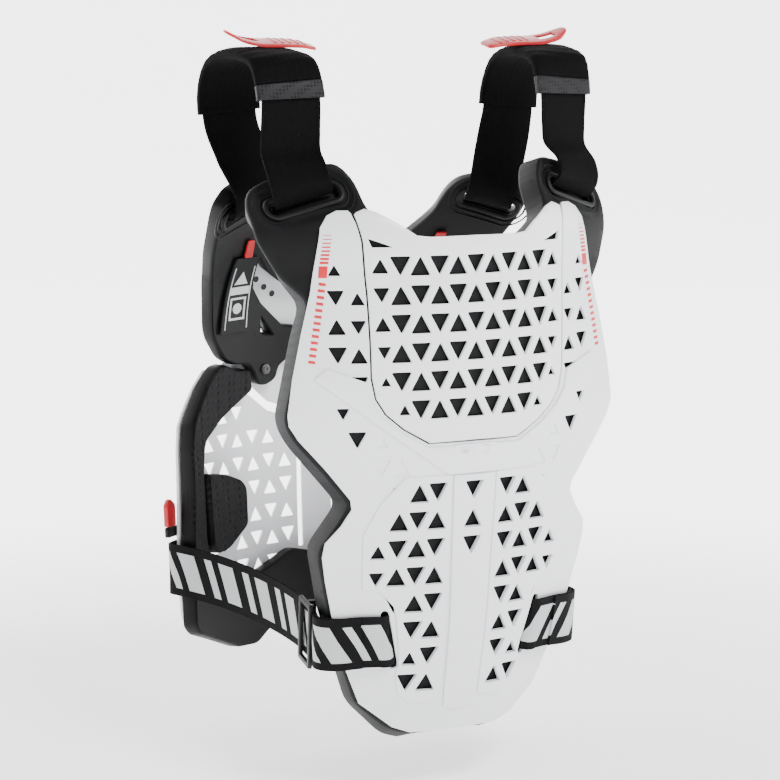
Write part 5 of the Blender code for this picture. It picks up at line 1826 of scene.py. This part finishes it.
@dataclass
class Waist:
    """Printed elastic webbing, buckle frames, hooks and red tabs at the waist."""

    shop: Workshop
    width: float = 0.041
    wall: float = 0.0018
    lean: float = math.radians(14)
    glide: tuple[float, float] = (0.240, 0.360)
    rear_lean: float = 0.760
    frame_size: tuple[float, float, float, float] = (0.030, 0.049, 0.0046, 0.0030)
    hook_wall: float = 0.0030
    hook_rise: float = 0.008
    tab: tuple[float, float] = (0.022, 0.0045)
    route: Route = field(init=False)
    known: dict = field(default_factory=dict)

    FRONT_ROUTE = (
        (0.428, 0.191, 0.110), (0.437, 0.191, -0.040), (0.458, 0.192, -0.125),
        (0.500, 0.193, -0.165), (0.582, 0.193, -0.180), (0.695, 0.191, -0.230),
        (0.778, 0.189, -0.030), (0.802, 0.185, 0.500), (0.827, 0.179, 1.075), (0.880, 0.170, 2.000),
    )
    BACK_ROUTE = (
        (1.026, 0.180, 1.200), (1.034, 0.190, 0.400), (1.022, 0.194, -0.160),
        (0.972, 0.194, -0.295), (0.860, 0.194, -0.295),
    )

    def __post_init__(self) -> None:
        """Lay the route from the chest slot around to the back rim."""
        points = []
        for rows, face in ((self.FRONT_ROUTE, FRONT), (self.BACK_ROUTE, BACK)):
            for wide, high, deep in rows:
                points.append(face.point(*face.place(wide, high), deep * CHEST_FOAM))
        self.route = Route.through(points, 200)

    def across(self, share: float) -> Vector:
        """The direction of the strap's width at a share.

        Args:
            share: The share of the strap's length.

        Returns:
            The direction, of length one.
        """
        if share in self.known:
            return self.known[share]
        here, ahead = self.route.read(share)
        upright = Vector((0.0, 0.0, self.width))
        rise = self.width / 2
        if share < self.glide[0]:
            run = rise * math.tan(self.lean)
            lean = FRONT.point(here.x + run, here.z + rise) - FRONT.point(here.x - run, here.z - rise)
            way = lean.lerp(upright, share / self.glide[0])
        elif share > self.rear_lean:
            lean = BACK.point(here.x, here.z + rise) - BACK.point(here.x, here.z - rise)
            way = upright.lerp(lean, (share - self.rear_lean) / (1 - self.rear_lean))
        else:
            way = upright
        self.known[share] = (way - ahead * way.dot(ahead)).normalized()
        return self.known[share]

    def place(self, share: float, side: float) -> Vector:
        """A point of the strap by the share of its length and half width."""
        return self.route.read(share)[0] + self.across(share) * side * (self.width / 2 - 0.0009)

    def out(self, share: float) -> Vector:
        """The way out of the strap's outer face."""
        return self.route.read(share)[1].cross(self.across(share)).normalized()

    def over(self, share: float, side: float) -> Vector:
        """A point of the folded-back end, which lies over the strap."""
        gap = self.wall + 0.0003 + 0.0005 * math.sin(share * 40)
        return self.place(share, side * 0.985) + self.out(share) * gap

    def build(self) -> None:
        """Build both sides of the waist."""
        length = self.route.length
        for side in Side:
            band = strip(self.place, 0.0, 1.0, length, self.width, self.wall, self.out, 170)
            fold = strip(self.over, 0.088, self.glide[0] - 0.004, length, self.width, self.wall,
                         self.out, 50)
            join_into(band, fold)
            flip_side(band, side)
            self.shop.add("waist_webbing_" + side.word, band, [PRINTED],
                          ["waist_strap_" + side.word], 50)
            self.build_buckle(side)
            self.build_hook(side)

    def build_buckle(self, side: Side) -> None:
        """A buckle frame with a bar behind the webbing.

        Args:
            side: The wearer's side.
        """
        wide, high, bar, wall = self.frame_size
        first, last = self.place(self.glide[0], 0), self.place(self.glide[1], 0)
        here = (first + last) / 2
        ahead = (last - first).normalized()
        across = self.across(self.glide[0])
        across = (across - ahead * across.dot(ahead)).normalized()
        out = ahead.cross(across)
        back = self.wall / 2 + SEAT_GAP * 3
        rim = [(-wide / 2, -high / 2), (wide / 2, -high / 2), (wide / 2, high / 2), (-wide / 2, high / 2)]
        window = [(x * (1 - 2 * bar / wide), z * self.width / high) for x, z in rim]
        sheet = slab([rounded(rim, 0.0028, 4), rounded(window, 0.0012, 3)], wall, 0.0009, 0.006)
        for vert in sheet.verts:
            vert.co.y = back + wall - vert.co.y
        bar_high = self.width / 2 + SEAT_GAP * 4
        stem = (high / 2 - bar_high) * 0.9
        blocks = [(Vector((bar, 0.0026, 2 * (bar_high + stem))), Vector((0.0, -back - 0.0013, 0.0)))]
        for end in (-1, 1):
            blocks.append((Vector((bar, 2 * back + 0.0030, stem)),
                           Vector((0.0, 0.0, end * (bar_high + stem / 2)))))
        for size, at in blocks:
            block = bmesh.new()
            bmesh.ops.create_cube(block, size=1.0)
            bmesh.ops.scale(block, vec=size, verts=block.verts[:])
            bmesh.ops.bevel(block, geom=block.edges[:], offset=0.0005, segments=2, profile=0.5,
                            affect="EDGES", material=-1)
            bmesh.ops.translate(block, vec=at, verts=block.verts[:])
            join_into(sheet, block)
        turn = Matrix((
            (ahead.x, out.x, across.x), (ahead.y, out.y, across.y), (ahead.z, out.z, across.z),
        ))
        place = Matrix.Translation(here) @ turn.to_4x4()
        bmesh.ops.transform(sheet, matrix=place, verts=sheet.verts[:])
        bmesh.ops.recalc_face_normals(sheet, faces=sheet.faces[:])
        flip_side(sheet, side)
        self.shop.add("buckle_frame_" + side.word, sheet, [PLASTIC], ["triglide_" + side.word])

    def build_hook(self, side: Side) -> None:
        """The hook on the back rim and its red tab.

        Args:
            side: The wearer's side.
        """
        middle = BACK.place(0.0, self.BACK_ROUTE[-1][1])[1]
        edge = BACK.half_width
        clear = self.width / 2 + SEAT_GAP * 12
        lip = clear + self.hook_rise
        plate = [
            (edge * 0.84, middle - clear), (edge * 0.955, middle - clear),
            (edge * 0.955, middle + clear), (edge * 1.045, middle + clear),
            (edge * 1.045, middle + lip), (edge * 0.93, middle + lip), (edge * 0.84, middle + clear),
        ]
        sheet = slab([mirrored(rounded(plate, 0.0015, 3), side)], self.hook_wall, 0.0007, 0.006)
        shift_depth(sheet, -self.hook_wall - SKIN_GAP)
        drape(sheet, BACK)
        self.shop.add("rim_hook_" + side.word, sheet, [PLASTIC], ["strap_hook_" + side.word])
        foot = middle + lip + SEAT_GAP
        high, wall = self.tab
        tab = [
            (edge * 0.982, foot), (edge * 1.047, foot), (edge * 1.047, foot + high * 0.8),
            (edge * 1.020, foot + high), (edge * 0.982, foot + high * 0.75),
        ]
        sheet = slab([mirrored(rounded(tab, 0.0018, 3), side)], wall, 0.0012, 0.006)
        shift_depth(sheet, -wall - SEAT_GAP)
        drape(sheet, BACK)
        self.shop.add("red_hook_tab_" + side.word, sheet, [RED], ["hook_tab_" + side.word])


# Studio

@dataclass
class Studio:
    """Pale floor and backdrop that glow as painted light, soft lights and the camera."""

    target: Vector = field(default_factory=lambda: Vector((0.0, 0.02, -0.255)))
    azimuth: float = math.radians(27)
    elevation: float = math.radians(8.4)
    distance: float = 2.08
    lens: float = 2700 / 780 * 36
    floor_z: float = -0.545

    def look(self, thing: Piece, at: Vector) -> None:
        """Point a lamp or the camera at a place."""
        thing.rotation_euler = (at - thing.location).to_track_quat("-Z", "Y").to_euler()

    def build_floor(self) -> None:
        """A sheet of pale paper that curves up behind the object and glows as painted light, faintly near
        the object and fully far from it.
        """
        sheet = bmesh.new()
        bmesh.ops.create_grid(sheet, x_segments=4, y_segments=48, size=0.5)
        for vert in sheet.verts:
            t = vert.co.y + 0.5
            x, y, z = vert.co.x * 14.0, -5.0 + t * 13.0, 0.0
            if y > 2.5:
                turn = min((y - 2.5) / 1.6, math.pi / 2)
                z = 1.6 * (1 - math.cos(turn)) + max(y - 2.5 - 1.6 * math.pi / 2, 0.0)
                y = 2.5 + 1.6 * math.sin(turn)
            vert.co = Vector((x, y, self.floor_z + z))
        bmesh.ops.recalc_face_normals(sheet, faces=sheet.faces[:])
        mesh = bpy.data.meshes.new("studio_floor")
        for face in sheet.faces:
            face.smooth = True
        sheet.to_mesh(mesh)
        sheet.free()
        floor = bpy.data.objects.new("studio_floor", mesh)
        bpy.context.scene.collection.objects.link(floor)
        material = bpy.data.materials.new("glowing_paper")
        material.use_nodes = True
        shader = material.node_tree.nodes["Principled BSDF"]
        shader.inputs["Base Color"].default_value = (0.93, 0.93, 0.935, 1.0)
        shader.inputs["Roughness"].default_value = 0.9
        shader.inputs["Specular IOR Level"].default_value = 0.1
        where = material.node_tree.nodes.new("ShaderNodeTexCoord")
        flat = material.node_tree.nodes.new("ShaderNodeVectorMath")
        flat.operation = "LENGTH"
        material.node_tree.links.new(where.outputs["Object"], flat.inputs[0])
        # Painted light: the paper glows more with distance from the object, in place of light falling on
        # the backdrop
        far = material.node_tree.nodes.new("ShaderNodeMapRange")
        far.interpolation_type = "SMOOTHSTEP"
        (far.inputs["From Min"].default_value, far.inputs["From Max"].default_value) = PAPER_REACH
        (far.inputs["To Min"].default_value, far.inputs["To Max"].default_value) = PAPER_GLOW
        material.node_tree.links.new(flat.outputs["Value"], far.inputs["Value"])
        material.node_tree.links.new(far.outputs[0], shader.inputs["Emission Color"])
        shader.inputs["Emission Strength"].default_value = 3.0
        mesh.materials.append(material)

    def build_light(self, name: str, at: Vector, size: float, power: float) -> None:
        """A soft square lamp that points at the object.

        Args:
            name: The lamp's name.
            at: Its place.
            size: The length of its sides.
            power: Its power in watts.
        """
        lamp = bpy.data.lights.new(name, "AREA")
        lamp.shape = "SQUARE"
        lamp.size = size
        lamp.energy = power
        thing = bpy.data.objects.new(name, lamp)
        bpy.context.scene.collection.objects.link(thing)
        thing.location = at
        self.look(thing, self.target)

    def build(self) -> None:
        """Build the floor, the lights, the sky and the camera."""
        self.build_floor()
        self.build_light("key_light", Vector((0.3, -2.1, 1.9)), 0.9, 100.0)
        self.build_light("fill_light", Vector((2.1, -0.7, 0.6)), 1.2, 30.0)
        self.build_light("back_light", Vector((-1.8, 1.5, 1.2)), 1.2, 30.0)
        world = bpy.data.worlds.new("studio_sky")
        world.use_nodes = True
        sky = world.node_tree.nodes["Background"]
        sky.inputs["Color"].default_value = (1.0, 1.0, 1.0, 1.0)
        sky.inputs["Strength"].default_value = 0.30
        bpy.context.scene.world = world
        camera = bpy.data.cameras.new("photo_camera")
        camera.lens = self.lens
        camera.sensor_width = 36.0
        thing = bpy.data.objects.new("photo_camera", camera)
        bpy.context.scene.collection.objects.link(thing)
        flat = math.cos(self.elevation) * self.distance
        thing.location = self.target + Vector((
            -math.sin(self.azimuth) * flat, -math.cos(self.azimuth) * flat,
            math.sin(self.elevation) * self.distance,
        ))
        self.look(thing, self.target)
        bpy.context.scene.camera = thing


def main() -> None:
    """Build the scene in order."""
    logging.basicConfig(level=logging.INFO, format="%(message)s")
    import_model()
    shop = Workshop()
    shoulders = Shoulders(shop)
    for assembly in (Chest(shop, shoulders), Back(shop, shoulders), shoulders, Waist(shop), Studio()):
        assembly.build()
        LOG.info("built %s", type(assembly).__name__)


if __name__ == "__main__":
    main()
